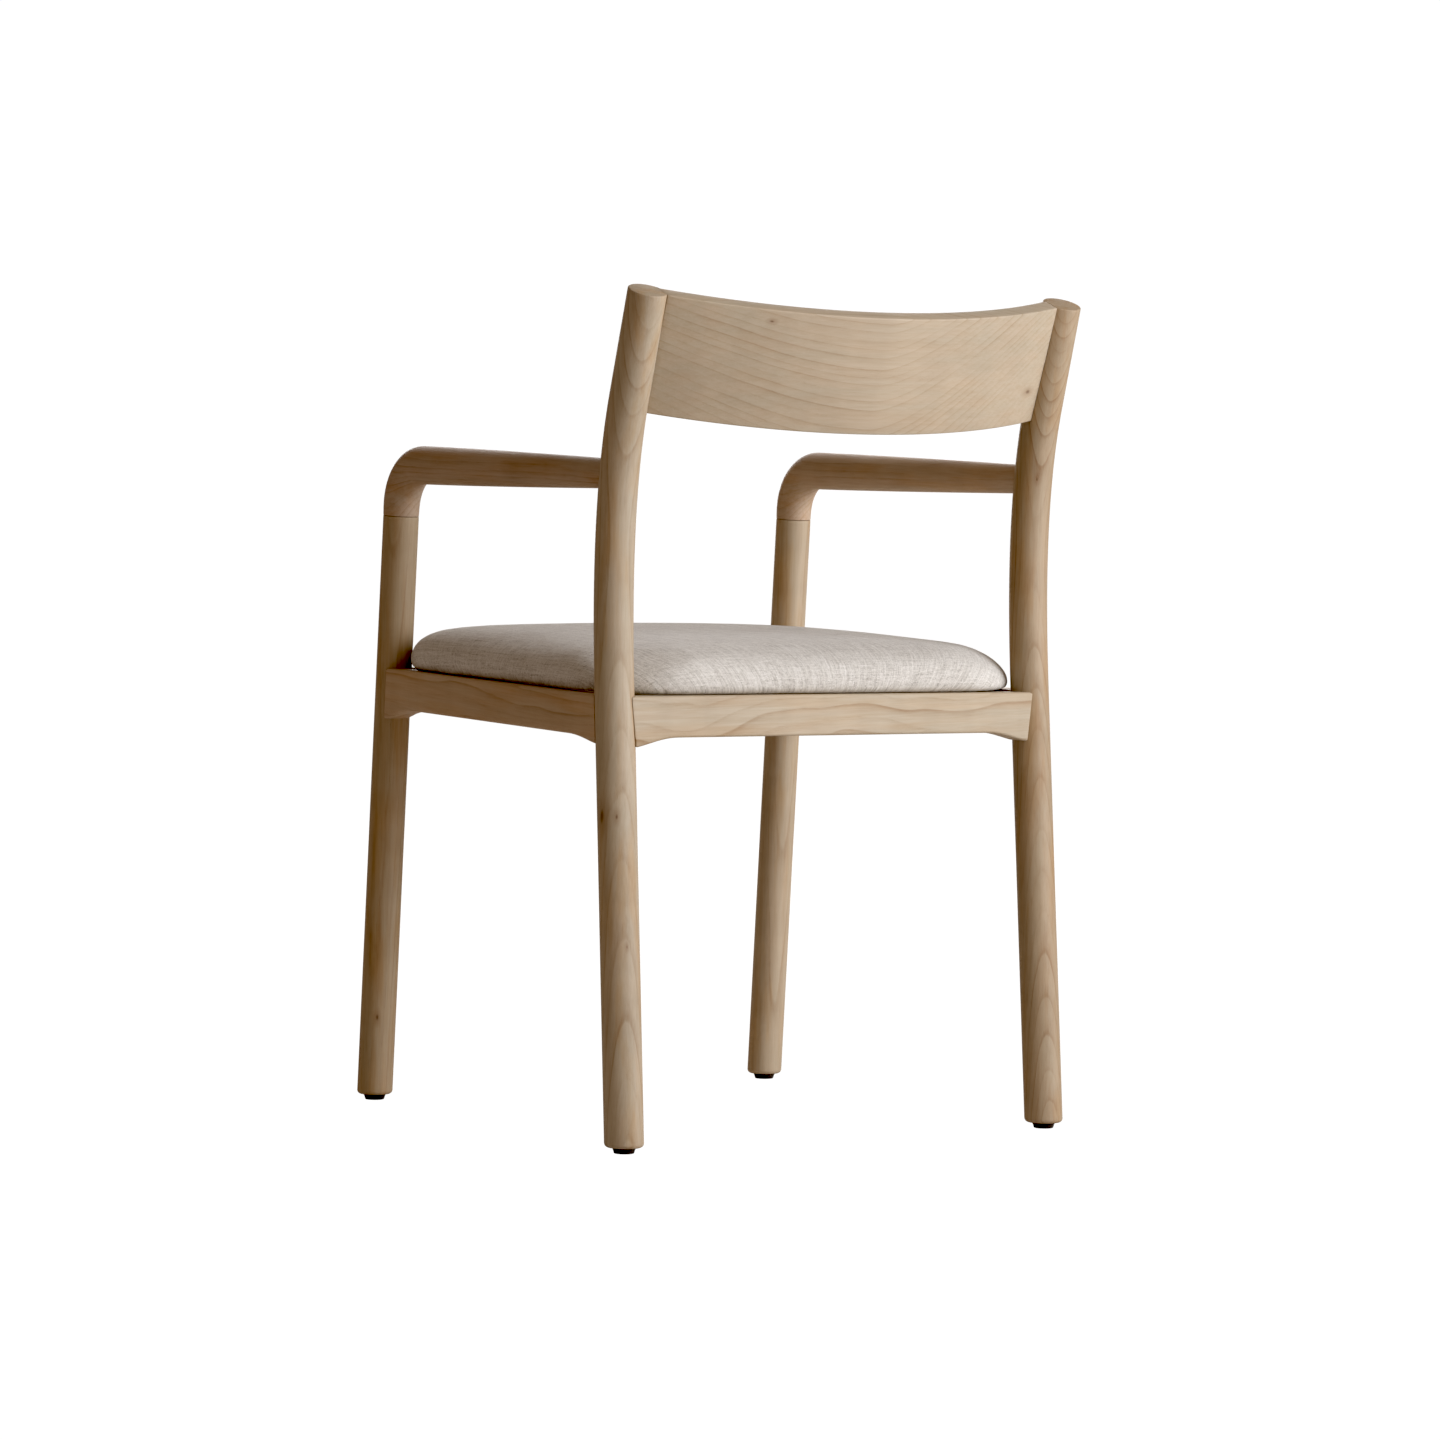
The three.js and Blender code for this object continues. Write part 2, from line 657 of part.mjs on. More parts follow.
for (const [sideName, side] of Object.entries(sides)) {
  const rear = cornersAt(side, 1);
  const front = cornersAt(side, -1);
  const rearFoot = postCentre(side, FOOT_BOTTOM);
  const frontFoot = legCentre(side, FOOT_BOTTOM);

  add(`rear_post_${sideName}`, cut(postBar(side), [
    belowFeet(),
    aboveTop(),
    panelSlab(GAP, 2 * PANEL_THICKNESS, 0),
    rear.crossTenon(GAP),
    rear.sideTenon(GAP),
    armRearDowel(side, GAP),
    panelDowel(side, panelDowelLevels.upper, GAP),
    panelDowel(side, panelDowelLevels.lower, GAP),
    nailHole().translate(rearFoot.x, rearFoot.y, 0),
  ]), ash);
  add(`front_leg_${sideName}`, cut(legBar(side), [
    belowFeet(),
    front.crossTenon(GAP),
    front.sideTenon(GAP),
    armFrontDowel(side, GAP),
    nailHole().translate(frontFoot.x, frontFoot.y, 0),
  ]), ash);
  add(`arm_${sideName}`, cut(armBar(side), [
    postBar(side, GAP + 0.1),
    armFrontDowel(side, GAP),
    armRearDowel(side, GAP),
  ]), ash);
  add(`side_rail_${sideName}`, cut(sideRail(side), [
    postBar(side, GAP + 0.1),
    legBar(side, GAP + 0.1),
    rear.sideTenon(GAP),
    front.sideTenon(GAP),
    rear.sideScrew(screwHole(0)),
    front.sideScrew(screwHole(0)),
  ]), ash);

  add(`arm_dowel_front_${sideName}`, armFrontDowel(side), beech);
  add(`arm_dowel_rear_${sideName}`, armRearDowel(side), beech);
  for (const [levelName, level] of Object.entries(panelDowelLevels)) {
    add(`panel_dowel_${sideName}_${levelName}`, panelDowel(side, level), beech);
  }
  for (const [endName, foot] of [['rear', rearFoot], ['front', frontFoot]]) {
    add(`glide_${endName}_${sideName}`, glide().translate(foot.x, foot.y, 0), blackPlastic);
    add(`glide_nail_${endName}_${sideName}`, glideNail().translate(foot.x, foot.y, 0), steel);
  }
}

const panelHoles = [];
for (const side of Object.values(sides)) {
  for (const level of Object.values(panelDowelLevels)) {
    panelHoles.push(panelDowel(side, level, GAP));
  }
}
add('back_panel', cut(panelSlab(0, 0, PANEL_EDGE_ROUNDING), panelHoles), ash);

for (const [name, endRail, end] of [['rear_rail', rearRail, 1], ['front_rail', frontRail, -1]]) {
  const ends = [cornersAt(1, end), cornersAt(-1, end)];
  add(name, cut(endRail(), ends.flatMap((corner) => [
    corner.leg(GAP + 0.1),
    corner.crossTenon(GAP),
    corner.crossScrew(screwHole(0)),
  ])), ash);
}

for (const corner of corners) {
  add(`rail_tenon_${corner.name}_cross`, corner.crossTenon(), beech);
  add(`rail_tenon_${corner.name}_side`, corner.sideTenon(), beech);
  add(`corner_block_${corner.name}`, cornerBlock(corner), beech);
  add(`rail_screw_${corner.name}_cross`, corner.crossScrew(screw()), steel);
  add(`rail_screw_${corner.name}_side`, corner.sideScrew(screw()), steel);
  add(`seat_screw_${corner.name}`, corner.seatScrew(screw()), steel);
}

const seatScrewHoles = corners.map((corner) => corner.seatScrew(screwHole(0)));
add('seat_board', cut(slab(boardEdge, boardBottom, boardTop), seatScrewHoles), plywood);
add('seat_foam', seatFoam(), foam);
add('seat_cover', cut(seatCover(), seatScrewHoles), linen);
add('dust_cover', slab(opening - 0.01, 0.9, 1.5), cambric);

// The origin is on the floor, in the middle of the chair's own box.
const extent = new THREE.Box3().setFromObject(chair);
chair.position.y = -(extent.min.y + extent.max.y) / 2;
chair.updateMatrixWorld(true);

export default chair;
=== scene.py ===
"""Wooden armchair: finished surfaces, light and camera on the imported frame. Metres, +Z up, facing -Y."""

import json
import math

import bpy
import bmesh
from mathutils import Matrix, Vector


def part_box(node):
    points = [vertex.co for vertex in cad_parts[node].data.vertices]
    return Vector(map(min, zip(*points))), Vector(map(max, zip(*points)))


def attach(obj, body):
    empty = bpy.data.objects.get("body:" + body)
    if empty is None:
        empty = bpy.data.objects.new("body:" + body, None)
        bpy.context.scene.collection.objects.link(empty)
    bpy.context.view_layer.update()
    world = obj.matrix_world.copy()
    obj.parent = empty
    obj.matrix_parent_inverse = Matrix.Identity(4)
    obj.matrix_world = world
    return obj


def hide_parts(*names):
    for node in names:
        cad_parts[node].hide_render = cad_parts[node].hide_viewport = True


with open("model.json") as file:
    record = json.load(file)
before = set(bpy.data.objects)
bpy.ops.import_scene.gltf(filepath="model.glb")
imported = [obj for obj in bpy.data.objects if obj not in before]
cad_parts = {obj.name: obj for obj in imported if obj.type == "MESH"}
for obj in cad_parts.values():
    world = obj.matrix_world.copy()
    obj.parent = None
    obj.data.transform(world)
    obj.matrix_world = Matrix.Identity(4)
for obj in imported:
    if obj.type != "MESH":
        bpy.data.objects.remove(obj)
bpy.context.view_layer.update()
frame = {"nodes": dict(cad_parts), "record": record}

MM = 0.001


# ---------------------------------------------------------------- dimensions, in millimetres

GAP = 0.35

POST_RADIUS = 18.5
LEG_RADIUS = 17.6
FOOT_BOTTOM = 5.5
FOOT_ROUNDING = 4.2

POST_FOOT = (237.0, 246.4)
POST_TOP_X = 232.6
POST_END_Z = 800.0
POST_BEND_START = (214.0, 430.0)
POST_BEND_END = (231.5, 697.0)
POST_BEND_PULL = (130.0, 60.0)
POST_RAKE = math.radians(4.3)
POST_LEAN = math.radians(16.8)
POST_TIP = 120.0
POST_TOP_MARGIN = 9.0
FOOT_MARGIN = 6.0

LEG_FOOT = (230.5, -246.4)
LEG_RAKE = 0.0713
ARM_JOINT_Z = 582.0

ARM_AXIS_Z = 629.6
ARM_FALL = 0.0162
ARM_REAR_Y = 215.0
ARM_BEND_RADIUS = 45.0
ARM_RADIUS_BEND = 18.8
ARM_BEND_SWELL = 0.3
ARM_RADIUS_REAR = 13.6
ARM_TAPER_POWER = 1.4

PANEL_LEAN = math.radians(20.0)
PANEL_TOP_EDGE = (273.4, 790.0)
PANEL_END_X = 218.4
PANEL_BULGE = 49.0
PANEL_THICKNESS = 19.5
PANEL_HEIGHT = 114.7
PANEL_CLEARANCE = 0.3
PANEL_SPACE_RISE = 60.0

SEAT_Z = 426.5
SEAT_FALL = 0.0245
RAIL_HEIGHT = 38.8
RAIL_THICKNESS = 25.0
RAIL_INSET = 2.6
RAIL_ROUNDING = 2.6
FLARE_LENGTH = 52.0
FLARE_DROP = {"cross": 9.6, "side_front": 11.5, "side_rear": 6.4}

PAD_HALF_WIDTH = 240.0
PAD_END = 228.0
PAD_CORNER = 84.0
PAD_CROWN = 44.9
PAD_PRESSURE = 0.3
PAD_SWELL_LIMIT = 5.0
REAR_CORNER_DROP = 0.27
REAR_CORNER_REACH = 33.0
REAR_CORNER_SPREAD = 0.55 * PAD_CORNER
PAD_BASE = 0.45
PAD_LOWEST = 0.4
PAD_CLEARANCE = 0.8
PAD_VOXEL = 5.0
PAD_HELD = 2.5
PAD_HELD_FADE = 7.0
CLOTH_STEPS = 20
LINING_SHARE = 0.86
LINING_SAG = 1.3
LINING_LEVEL = 0.15
LINING_RIPPLE = 0.25

STAPLE_NUMBER = 36
STAPLE_RADIUS = 0.42
STAPLE_SHAPE = [
    (-5.0, 0.35), (-4.95, -0.1), (-4.6, -0.42), (-4.0, -0.5),
    (4.0, -0.5), (4.6, -0.42), (4.95, -0.1), (5.0, 0.35),
]

# The frame's origin is the middle of the chair's box; the numbers above start from the middle of its feet.
glide_low, glide_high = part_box("glide_rear_left")
SHIFT = (glide_low.y + glide_high.y) / 2 / MM - (POST_FOOT[1] - FOOT_BOTTOM * math.tan(POST_RAKE))

X_AXIS = Vector((1, 0, 0))
Z_AXIS = Vector((0, 0, 1))
SEAT_TILT = Matrix.Rotation(-math.atan(SEAT_FALL), 3, "X")
SEAT_LEVEL = Matrix.Rotation(math.atan(SEAT_FALL), 3, "X")


# ---------------------------------------------------------------- paths

def lerp(a, b, t):
    return a + (b - a) * t


def clamp(value, low, high):
    return max(low, min(high, value))


def bezier(a, b, c, d, t):
    s = 1 - t
    return a * s ** 3 + b * 3 * s * s * t + c * 3 * s * t * t + d * t ** 3


def post_x(z):
    return lerp(POST_FOOT[0], POST_TOP_X, z / POST_END_Z)


def post_centre(side, z):
    return Vector((side * post_x(z), POST_FOOT[1] - z * math.tan(POST_RAKE), z))


def post_points(side):
    """The rear post's centreline from its foot to above its top."""
    def centre_at(y, z):
        return Vector((side * post_x(z), y, z))

    start, end = centre_at(*POST_BEND_START), centre_at(*POST_BEND_END)
    lower, upper = POST_BEND_PULL
    first = centre_at(start.y - lower * math.sin(POST_RAKE), start.z + lower * math.cos(POST_RAKE))
    second = centre_at(end.y - upper * math.sin(POST_LEAN), end.z - upper * math.cos(POST_LEAN))
    tip = centre_at(end.y + POST_TIP * math.tan(POST_LEAN), end.z + POST_TIP)
    foot = post_centre(side, 0)
    points = [foot.lerp(start, i / 18) for i in range(18)]
    points += [bezier(start, first, second, end, i / 34) for i in range(34)]
    points += [end.lerp(tip, i / 8) for i in range(9)]
    return points


def leg_centre(side, z):
    return Vector((side * LEG_FOOT[0], LEG_FOOT[1] + z * LEG_RAKE, z))


def arm_points(side):
    """The arm's centreline and radius, from the joint on the front leg to inside the rear post."""
    leg = Vector((0, LEG_RAKE, 1)).normalized()
    along = Vector((0, 1, -ARM_FALL)).normalized()
    corner_z = (ARM_AXIS_Z - ARM_FALL * LEG_FOOT[1]) / (1 + ARM_FALL * LEG_RAKE)
    corner = leg_centre(side, corner_z)
    turn = leg.angle(along)
    reach = ARM_BEND_RADIUS * math.tan(turn / 2)
    pull = 4 / 3 * math.tan(turn / 4) * ARM_BEND_RADIUS
    start, end = corner - leg * reach, corner + along * reach
    rear_z = ARM_AXIS_Z - ARM_FALL * ARM_REAR_Y
    rear = Vector((side * post_x(rear_z), ARM_REAR_Y, rear_z))
    base = leg_centre(side, ARM_JOINT_Z + GAP)
    made = [base.lerp(start, i / 3) for i in range(3)]
    made += [bezier(start, start + leg * pull, end - along * pull, end, i / 30) for i in range(30)]
    bent = sum((b - a).length for a, b in zip(made, made[1:] + [end]))
    made += [end.lerp(rear, i / 26) for i in range(27)]
    total = sum((b - a).length for a, b in zip(made, made[1:]))
    radii, gone = [], 0.0
    for i, point in enumerate(made):
        gone += (point - made[i - 1]).length if i else 0.0
        if gone < bent:
            share = gone / bent
            radius = lerp(LEG_RADIUS, ARM_RADIUS_BEND, share) + ARM_BEND_SWELL * math.sin(math.pi * share)
        else:
            share = ((gone - bent) / (total - bent)) ** ARM_TAPER_POWER
            radius = lerp(ARM_RADIUS_BEND, ARM_RADIUS_REAR, share)
        radii.append(radius)
    return made, radii


def tangents(points):
    out = []
    for i in range(len(points)):
        ahead, behind = points[min(i + 1, len(points) - 1)], points[max(i - 1, 0)]
        out.append((ahead - behind).normalized())
    return out


def near_path(point, path):
    """Distance from a point to a polyline."""
    best = 1e9
    for a, b in zip(path, path[1:]):
        ab = b - a
        t = clamp((point - a).dot(ab) / ab.length_squared, 0, 1)
        best = min(best, (point - a - ab * t).length)
    return best


# ---------------------------------------------------------------- mesh building

def add_object(name, data):
    made = bpy.data.objects.new(name, data)
    bpy.context.scene.collection.objects.link(made)
    return made


def make(name, vertices, faces, smooth_angle=38):
    """A mesh object from millimetre points of the layout above, placed in the frame."""
    mesh = bpy.data.meshes.new(name)
    placed = [(x * MM, (y + SHIFT) * MM, z * MM) for x, y, z in vertices]
    mesh.from_pydata(placed, [], faces)
    mesh.validate()
    piece = add_object(name, mesh)
    tidy(piece, smooth_angle)
    return piece


def tidy(piece, smooth_angle=38):
    """Outward normals, and smooth shading broken only at real edges."""
    mesh = piece.data
    work = bmesh.new()
    work.from_mesh(mesh)
    bmesh.ops.remove_doubles(work, verts=work.verts, dist=2e-6)
    bmesh.ops.recalc_face_normals(work, faces=work.faces)
    limit = math.radians(smooth_angle)
    for edge in work.edges:
        edge.smooth = not (len(edge.link_faces) == 2 and edge.calc_face_angle(0) > limit)
    for face in work.faces:
        face.smooth = True
    work.to_mesh(mesh)
    work.free()


def bands(rows, count, downward=False):
    """Quads between successive rings of equal point counts."""
    faces = []
    for i in range(rows - 1):
        for j in range(count):
            k = (j + 1) % count
            here, above = i * count, (i + 1) * count
            if downward:
                faces.append((here + j, above + j, above + k, here + k))
            else:
                faces.append((here + j, here + k, above + k, above + j))
    return faces


def skin(name, rings, smooth_angle=38):
    """A closed body through rings of equal point counts, capped at both ends."""
    count = len(rings[0])
    vertices = [p for row in rings for p in row]
    faces = bands(len(rings), count)
    for row, start, flip in ((rings[0], 0, True), (rings[-1], (len(rings) - 1) * count, False)):
        centre = len(vertices)
        vertices.append(sum(row, Vector()) / count)
        for j in range(count):
            k = (j + 1) % count
            faces.append((start + k, start + j, centre) if flip else (start + j, start + k, centre))
    return make(name, vertices, faces, smooth_angle)


SIDES = 56


def ring(centre, tangent, radius, sides=SIDES):
    across = (X_AXIS - tangent * tangent.x).normalized()
    depth = across.cross(tangent)
    step = math.tau / sides
    return [centre + across * (math.cos(i * step) * radius) + depth * (math.sin(i * step) * radius)
            for i in range(sides)]


def onto_plane(points, direction, at, normal):
    """Slides each point along a direction onto a plane."""
    fall = direction.dot(normal)
    return [p + direction * ((at - p).dot(normal) / fall) for p in points]


def foot_rings(centre, tangent, radius):
    """The rounded lower end of a leg, with a level underside."""
    rings = []
    for i in range(7):
        angle = i / 6 * math.pi / 2
        rise = FOOT_ROUNDING * (1 - math.cos(angle))
        inset = FOOT_ROUNDING * (1 - math.sin(angle))
        raw = ring(centre, tangent, radius - inset)
        rings.append(onto_plane(raw, tangent, Vector((0, 0, FOOT_BOTTOM + rise)), Z_AXIS))
    return rings


def end_rings(rings_of, bevel):
    """Rings for an eased end: rings_of(back, inset) gives the ring that far behind the end."""
    steps = []
    for i in range(4, -1, -1):
        angle = i / 4 * math.pi / 2
        steps.append(rings_of(bevel * (1 - math.cos(angle)), bevel * (1 - math.sin(angle))))
    return steps


# ---------------------------------------------------------------- posts, legs and arms

def rear_post(side, name):
    points = post_points(side)
    directions = tangents(points)
    rings = foot_rings(post_centre(side, FOOT_BOTTOM), directions[1], POST_RADIUS)
    top_normal = Vector((0, math.sin(PANEL_LEAN), math.cos(PANEL_LEAN)))
    top_point = Vector((0, *PANEL_TOP_EDGE))
    for point, direction in zip(points, directions):
        if point.z < FOOT_BOTTOM + FOOT_ROUNDING + FOOT_MARGIN:
            continue
        if (point - top_point).dot(top_normal) > -POST_TOP_MARGIN:
            break
        rings.append(ring(point, direction, POST_RADIUS))
    last = directions[-1]
    raw_centre = points[-1]

    def near_top(back, inset):
        raw = ring(raw_centre, last, POST_RADIUS - inset)
        return onto_plane(raw, last, top_point - top_normal * back, top_normal)

    rings.append(near_top(5, 0))
    rings += end_rings(near_top, 1.1)
    return skin(name, rings)


def front_leg(side, name):
    direction = Vector((0, LEG_RAKE, 1)).normalized()
    rings = foot_rings(leg_centre(side, FOOT_BOTTOM), direction, LEG_RADIUS)
    for i in range(24):
        z = lerp(FOOT_BOTTOM + FOOT_ROUNDING + FOOT_MARGIN, ARM_JOINT_Z - 4, i / 23)
        rings.append(ring(leg_centre(side, z), direction, LEG_RADIUS))
    top = leg_centre(side, ARM_JOINT_Z)
    rings += end_rings(lambda back, inset: ring(top - direction * back, direction, LEG_RADIUS - inset), 0.5)
    return skin(name, rings)


def arm(side, name):
    points, radii = arm_points(side)
    directions = tangents(points)
    base, up = points[0], directions[0]
    start = end_rings(lambda back, inset: ring(base + up * back, up, LEG_RADIUS - inset), 0.5)
    rings = start[::-1]
    rings += [ring(p, d, r) for p, d, r in zip(points[1:-8], directions[1:-8], radii[1:-8])]
    post = post_points(side)
    clear = POST_RADIUS + GAP
    tail = list(zip(points[-8:], directions[-8:], radii[-8:]))
    first = ring(*tail[0])
    last = ring(*tail[-1])

    def reach(i):
        low, high = 0.0, 1.0
        for _ in range(24):
            mid = (low + high) / 2
            if near_path(first[i].lerp(last[i], mid), post) > clear:
                low = mid
            else:
                high = mid
        return low

    shares = [reach(i) for i in range(SIDES)]
    span = (tail[-1][0] - tail[0][0]).length

    def at_post(back, inset, part=1.0):
        made = []
        for i, share in enumerate(shares):
            point = first[i].lerp(last[i], (share - back / span) * part)
            centre = tail[0][0].lerp(tail[-1][0], (share - back / span) * part)
            made.append(point + (centre - point).normalized() * inset)
        return made

    rings += [at_post(0, 0, part) for part in (0.0, 0.3, 0.6, 0.85, 0.95)]
    rings += end_rings(at_post, 0.6)
    return skin(name, rings)


# ---------------------------------------------------------------- crest panel

def rounded_box(half_width, low, high, radius, steps=4):
    """A rounded rectangle around (0, low..high), counter-clockwise."""
    out = []
    corners = (
        (half_width, high, 0), (-half_width, high, 90), (-half_width, low, 180), (half_width, low, 270),
    )
    for x, y, start in corners:
        cx = x - math.copysign(radius, x)
        cy = y - radius if y == high else y + radius
        for i in range(steps + 1):
            angle = math.radians(start + 90 * i / steps)
            out.append((cx + radius * math.cos(angle), cy + radius * math.sin(angle)))
    return out


PANEL_RADIUS = (PANEL_END_X ** 2 + PANEL_BULGE ** 2) / (2 * PANEL_BULGE)
PANEL_CENTRE_Y = PANEL_BULGE - PANEL_RADIUS
PANEL_TURN = Matrix.Rotation(-PANEL_LEAN, 3, "X")
PANEL_PLACE = Vector((0, *PANEL_TOP_EDGE))


def panel_body(name, growth, rise, rounding):
    """The crest panel: a rounded section swept round an arc, with flat ends."""
    half = PANEL_THICKNESS / 2 + growth
    low, high = -PANEL_HEIGHT - growth, rise
    if rounding:
        section = rounded_box(half, low, high, rounding)
    else:
        section = [(half, low), (half, high), (-half, high), (-half, low)]
    middle = PANEL_RADIUS - PANEL_THICKNESS / 2
    end = PANEL_END_X + growth
    rings = []
    steps = 72
    shares = [(-1, 0.5), (-1, 0.15), (-1, 0)] if rounding else [(-1, 0)]
    shares += [(-1 + 2 * i / steps, 0) for i in range(1, steps)]
    shares += [(1, 0), (1, 0.15), (1, 0.5)] if rounding else [(1, 0)]
    outs = {0.5: 0.0, 0.15: 0.15, 0: 0.5}
    for share, inset in shares:
        made = []
        for out, z in section:
            shrink = inset if rounding else 0.0
            out = out - math.copysign(min(shrink, abs(out)), out)
            z = clamp(z, low + shrink, high - shrink)
            radius = middle + out
            at_end = end - (outs[inset] if rounding and abs(share) == 1 else 0.0)
            angle = math.asin(at_end / radius) * share
            point = Vector((radius * math.sin(angle), PANEL_CENTRE_Y + radius * math.cos(angle), z))
            made.append(PANEL_TURN @ point + PANEL_PLACE)
        rings.append(made)
    return skin(name, rings, 50)


# ---------------------------------------------------------------- seat rails

def frame_top(y):
    return SEAT_Z - SEAT_FALL * y


REAR = post_centre(1, frame_top(216) - RAIL_HEIGHT / 2)
FRONT = leg_centre(1, frame_top(-217) - RAIL_HEIGHT / 2)
REAR_FACE = REAR.y + POST_RADIUS - RAIL_INSET
FRONT_FACE = FRONT.y - LEG_RADIUS + RAIL_INSET
SIDE_FACE_REAR = REAR.x + POST_RADIUS - RAIL_INSET
SIDE_FACE_FRONT = FRONT.x + LEG_RADIUS - RAIL_INSET


def side_face_x(y):
    return lerp(SIDE_FACE_FRONT, SIDE_FACE_REAR, (y - FRONT.y) / (REAR.y - FRONT.y))


JUNCTION = math.sqrt(RAIL_INSET * (2 * POST_RADIUS - RAIL_INSET))


def flare(distance, drop):
    """How far the lower edge comes down, at a distance from the leg's centreline."""
    t = clamp((distance - JUNCTION) / FLARE_LENGTH, 0, 1)
    low, high = 0.0, 1.0
    pull = 0.4
    for _ in range(20):
        mid = (low + high) / 2
        x = 3 * (1 - mid) ** 2 * mid * 0.8 * pull + 3 * (1 - mid) * mid ** 2 * (1 - pull) + mid ** 3
        low, high = (mid, high) if x < t else (low, mid)
    s = 1 - low
    return drop * s ** 3 + 3 * s * s * low * (drop - 2)


def rail_rings(start, end, across, place, drops):
    """Rings of a rail. place(along, out, down) gives a point; start and end give where each line stops."""
    shares = [0.0, 0.0022, 0.006] + [0.01 + 0.98 * i / 90 for i in range(91)] + [0.994, 0.9978, 1.0]
    insets = {0.0: 0.7, 1.0: 0.7, 0.0022: 0.15, 0.9978: 0.15}
    rings = []
    for share in shares:
        inset = insets.get(share, 0.0)
        made = []
        for sx, top, angle in across:
            out = sx * (RAIL_THICKNESS / 2 - RAIL_ROUNDING)
            out += math.cos(angle) * (RAIL_ROUNDING - inset)
            lift = math.sin(angle) * (RAIL_ROUNDING - inset)
            along = 0.0
            low = 0.0
            for _ in range(2):
                a = start(out, low)
                b = end(out, low)
                along = lerp(a, b, share)
                first, last = flare(along - start.centre, drops[0]), flare(end.centre - along, drops[1])
                depth = RAIL_HEIGHT + first + last
                low = -RAIL_ROUNDING + lift if top else -depth + RAIL_ROUNDING + lift
            made.append(place(along, out, low))
        rings.append(made)
    return rings


def section_points(steps=5):
    """Corner by corner: side of the rail, whether at its top, and the angle on the rounded corner."""
    out = []
    for sx, top, start in ((1, True, 0), (-1, True, 90), (-1, False, 180), (1, False, 270)):
        for i in range(steps + 1):
            out.append((sx, top, math.radians(start + 90 * i / steps)))
    return out


class Stop:
    """Where a rail's lines stop against a round leg: centre is the leg's place along the rail."""

    def __init__(self, centre, sign, radius, drift):
        self.centre = centre
        self.sign = sign
        self.radius = radius + GAP
        self.drift = drift

    def __call__(self, out, low):
        across, along = self.drift(low)
        gap = out - across
        reach = math.sqrt(max(self.radius ** 2 - gap * gap, 1.0))
        return self.centre + along + self.sign * reach


def cross_rail(name, end, centre, face, radius, slope):
    """Rear or front rail: runs along X between the two legs."""
    middle = face - end * RAIL_THICKNESS / 2
    top = frame_top(middle)

    def drift(low):
        z = top + low
        return (centre.y + slope * (z - centre.z) - middle, 0.0)

    first = Stop(-centre.x, 1, radius, drift)
    last = Stop(centre.x, -1, radius, drift)

    def place(along, out, low):
        return Vector((along, middle + out, top + low))

    drops = (FLARE_DROP["cross"], FLARE_DROP["cross"])
    return skin(name, rail_rings(first, last, section_points(), place, drops), 50)


def side_rail(side, name):
    """Side rail: runs from the front leg to the rear post, falling a little to the back."""
    level = RAIL_HEIGHT / 2

    def x_at(y):
        return side_face_x(y) - RAIL_THICKNESS / 2

    def drift_of(centre, slope):
        across = centre.x - x_at(centre.y)
        return lambda low: (across, slope * (low + level))

    first = Stop(FRONT.y, 1, LEG_RADIUS, drift_of(FRONT, LEG_RAKE))
    last = Stop(REAR.y, -1, POST_RADIUS, drift_of(REAR, -math.tan(POST_RAKE)))

    def place(along, out, low):
        return Vector((side * (x_at(along) + out), along, frame_top(along) + low))

    drops = (FLARE_DROP["side_front"], FLARE_DROP["side_rear"])
    return skin(name, rail_rings(first, last, section_points(), place, drops), 50)


# ---------------------------------------------------------------- seat pad

def pad_outline(steps=12):
    """The pad's plan: a rectangle with broad round corners, which keep it clear of the posts and legs."""
    corners = []
    for x, y, start in ((1, 1, 0), (-1, 1, 90), (-1, -1, 180), (1, -1, 270)):
        centre = Vector((x * (PAD_HALF_WIDTH - PAD_CORNER), y * (PAD_END - PAD_CORNER)))
        for i in range(steps + 1):
            angle = math.radians(start + 90 * i / steps)
            corners.append(centre + Vector((math.cos(angle), math.sin(angle))) * PAD_CORNER)
    out = []
    for point, following in zip(corners, corners[1:] + corners[:1]):
        parts = max(round((following - point).length / 14), 1)
        out += [point.lerp(following, i / parts) for i in range(parts)]
    return out


# How far the pad's surface is in from its widest line, and how high over the seat frame.
PAD_PROFILE = [
    (30.0, PAD_BASE), (9.0, 0.5), (5.0, 0.9), (2.4, 2.2), (0.7, 5.2), (0.0, 9.5), (0.25, 14.0),
    (1.2, 18.6),
    (3.2, 23.6), (6.4, 28.4), (11.0, 32.7), (17.0, 36.3), (25.0, 39.5), (36.0, 41.8), (52.0, 43.5),
    (74.0, 44.3), (104.0, 44.7), (145.0, 44.8), (195.0, 44.8),
]


def on_seat(point):
    """A point of the pad's own level layout, put on the sloping seat."""
    return SEAT_TILT @ point + Vector((0, 0, SEAT_Z))


def seat_pad(name):
    """The upholstered pad: a crowned closed form on a level base, a little lower at its rear corners."""
    outline = pad_outline()
    count = len(outline)
    rings = []
    for inset, height in PAD_PROFILE:
        share = 1 - inset / PAD_HALF_WIDTH
        made = []
        for p in outline:
            corner = clamp((abs(p.x) - PAD_HALF_WIDTH + PAD_CORNER) / REAR_CORNER_SPREAD, 0, 1)
            corner *= clamp((p.y - PAD_END + PAD_CORNER) / REAR_CORNER_SPREAD, 0, 1)
            drop = REAR_CORNER_DROP * corner * max(1 - inset / REAR_CORNER_REACH, 0)
            made.append(Vector((p.x * share, p.y * share, height * (1 - drop))))
        rings.append(made)
    vertices = [p for row in rings for p in row]
    faces = bands(len(rings), count)
    bottom, top = len(vertices), len(vertices) + 1
    vertices += [Vector((0, 0, PAD_BASE)), Vector((0, 0, PAD_CROWN))]
    last = (len(rings) - 1) * count
    for j in range(count):
        k = (j + 1) % count
        faces.append((k, j, bottom))
        faces.append((last + j, last + k, top))
    return make(name, [on_seat(v) for v in vertices], faces, 60)


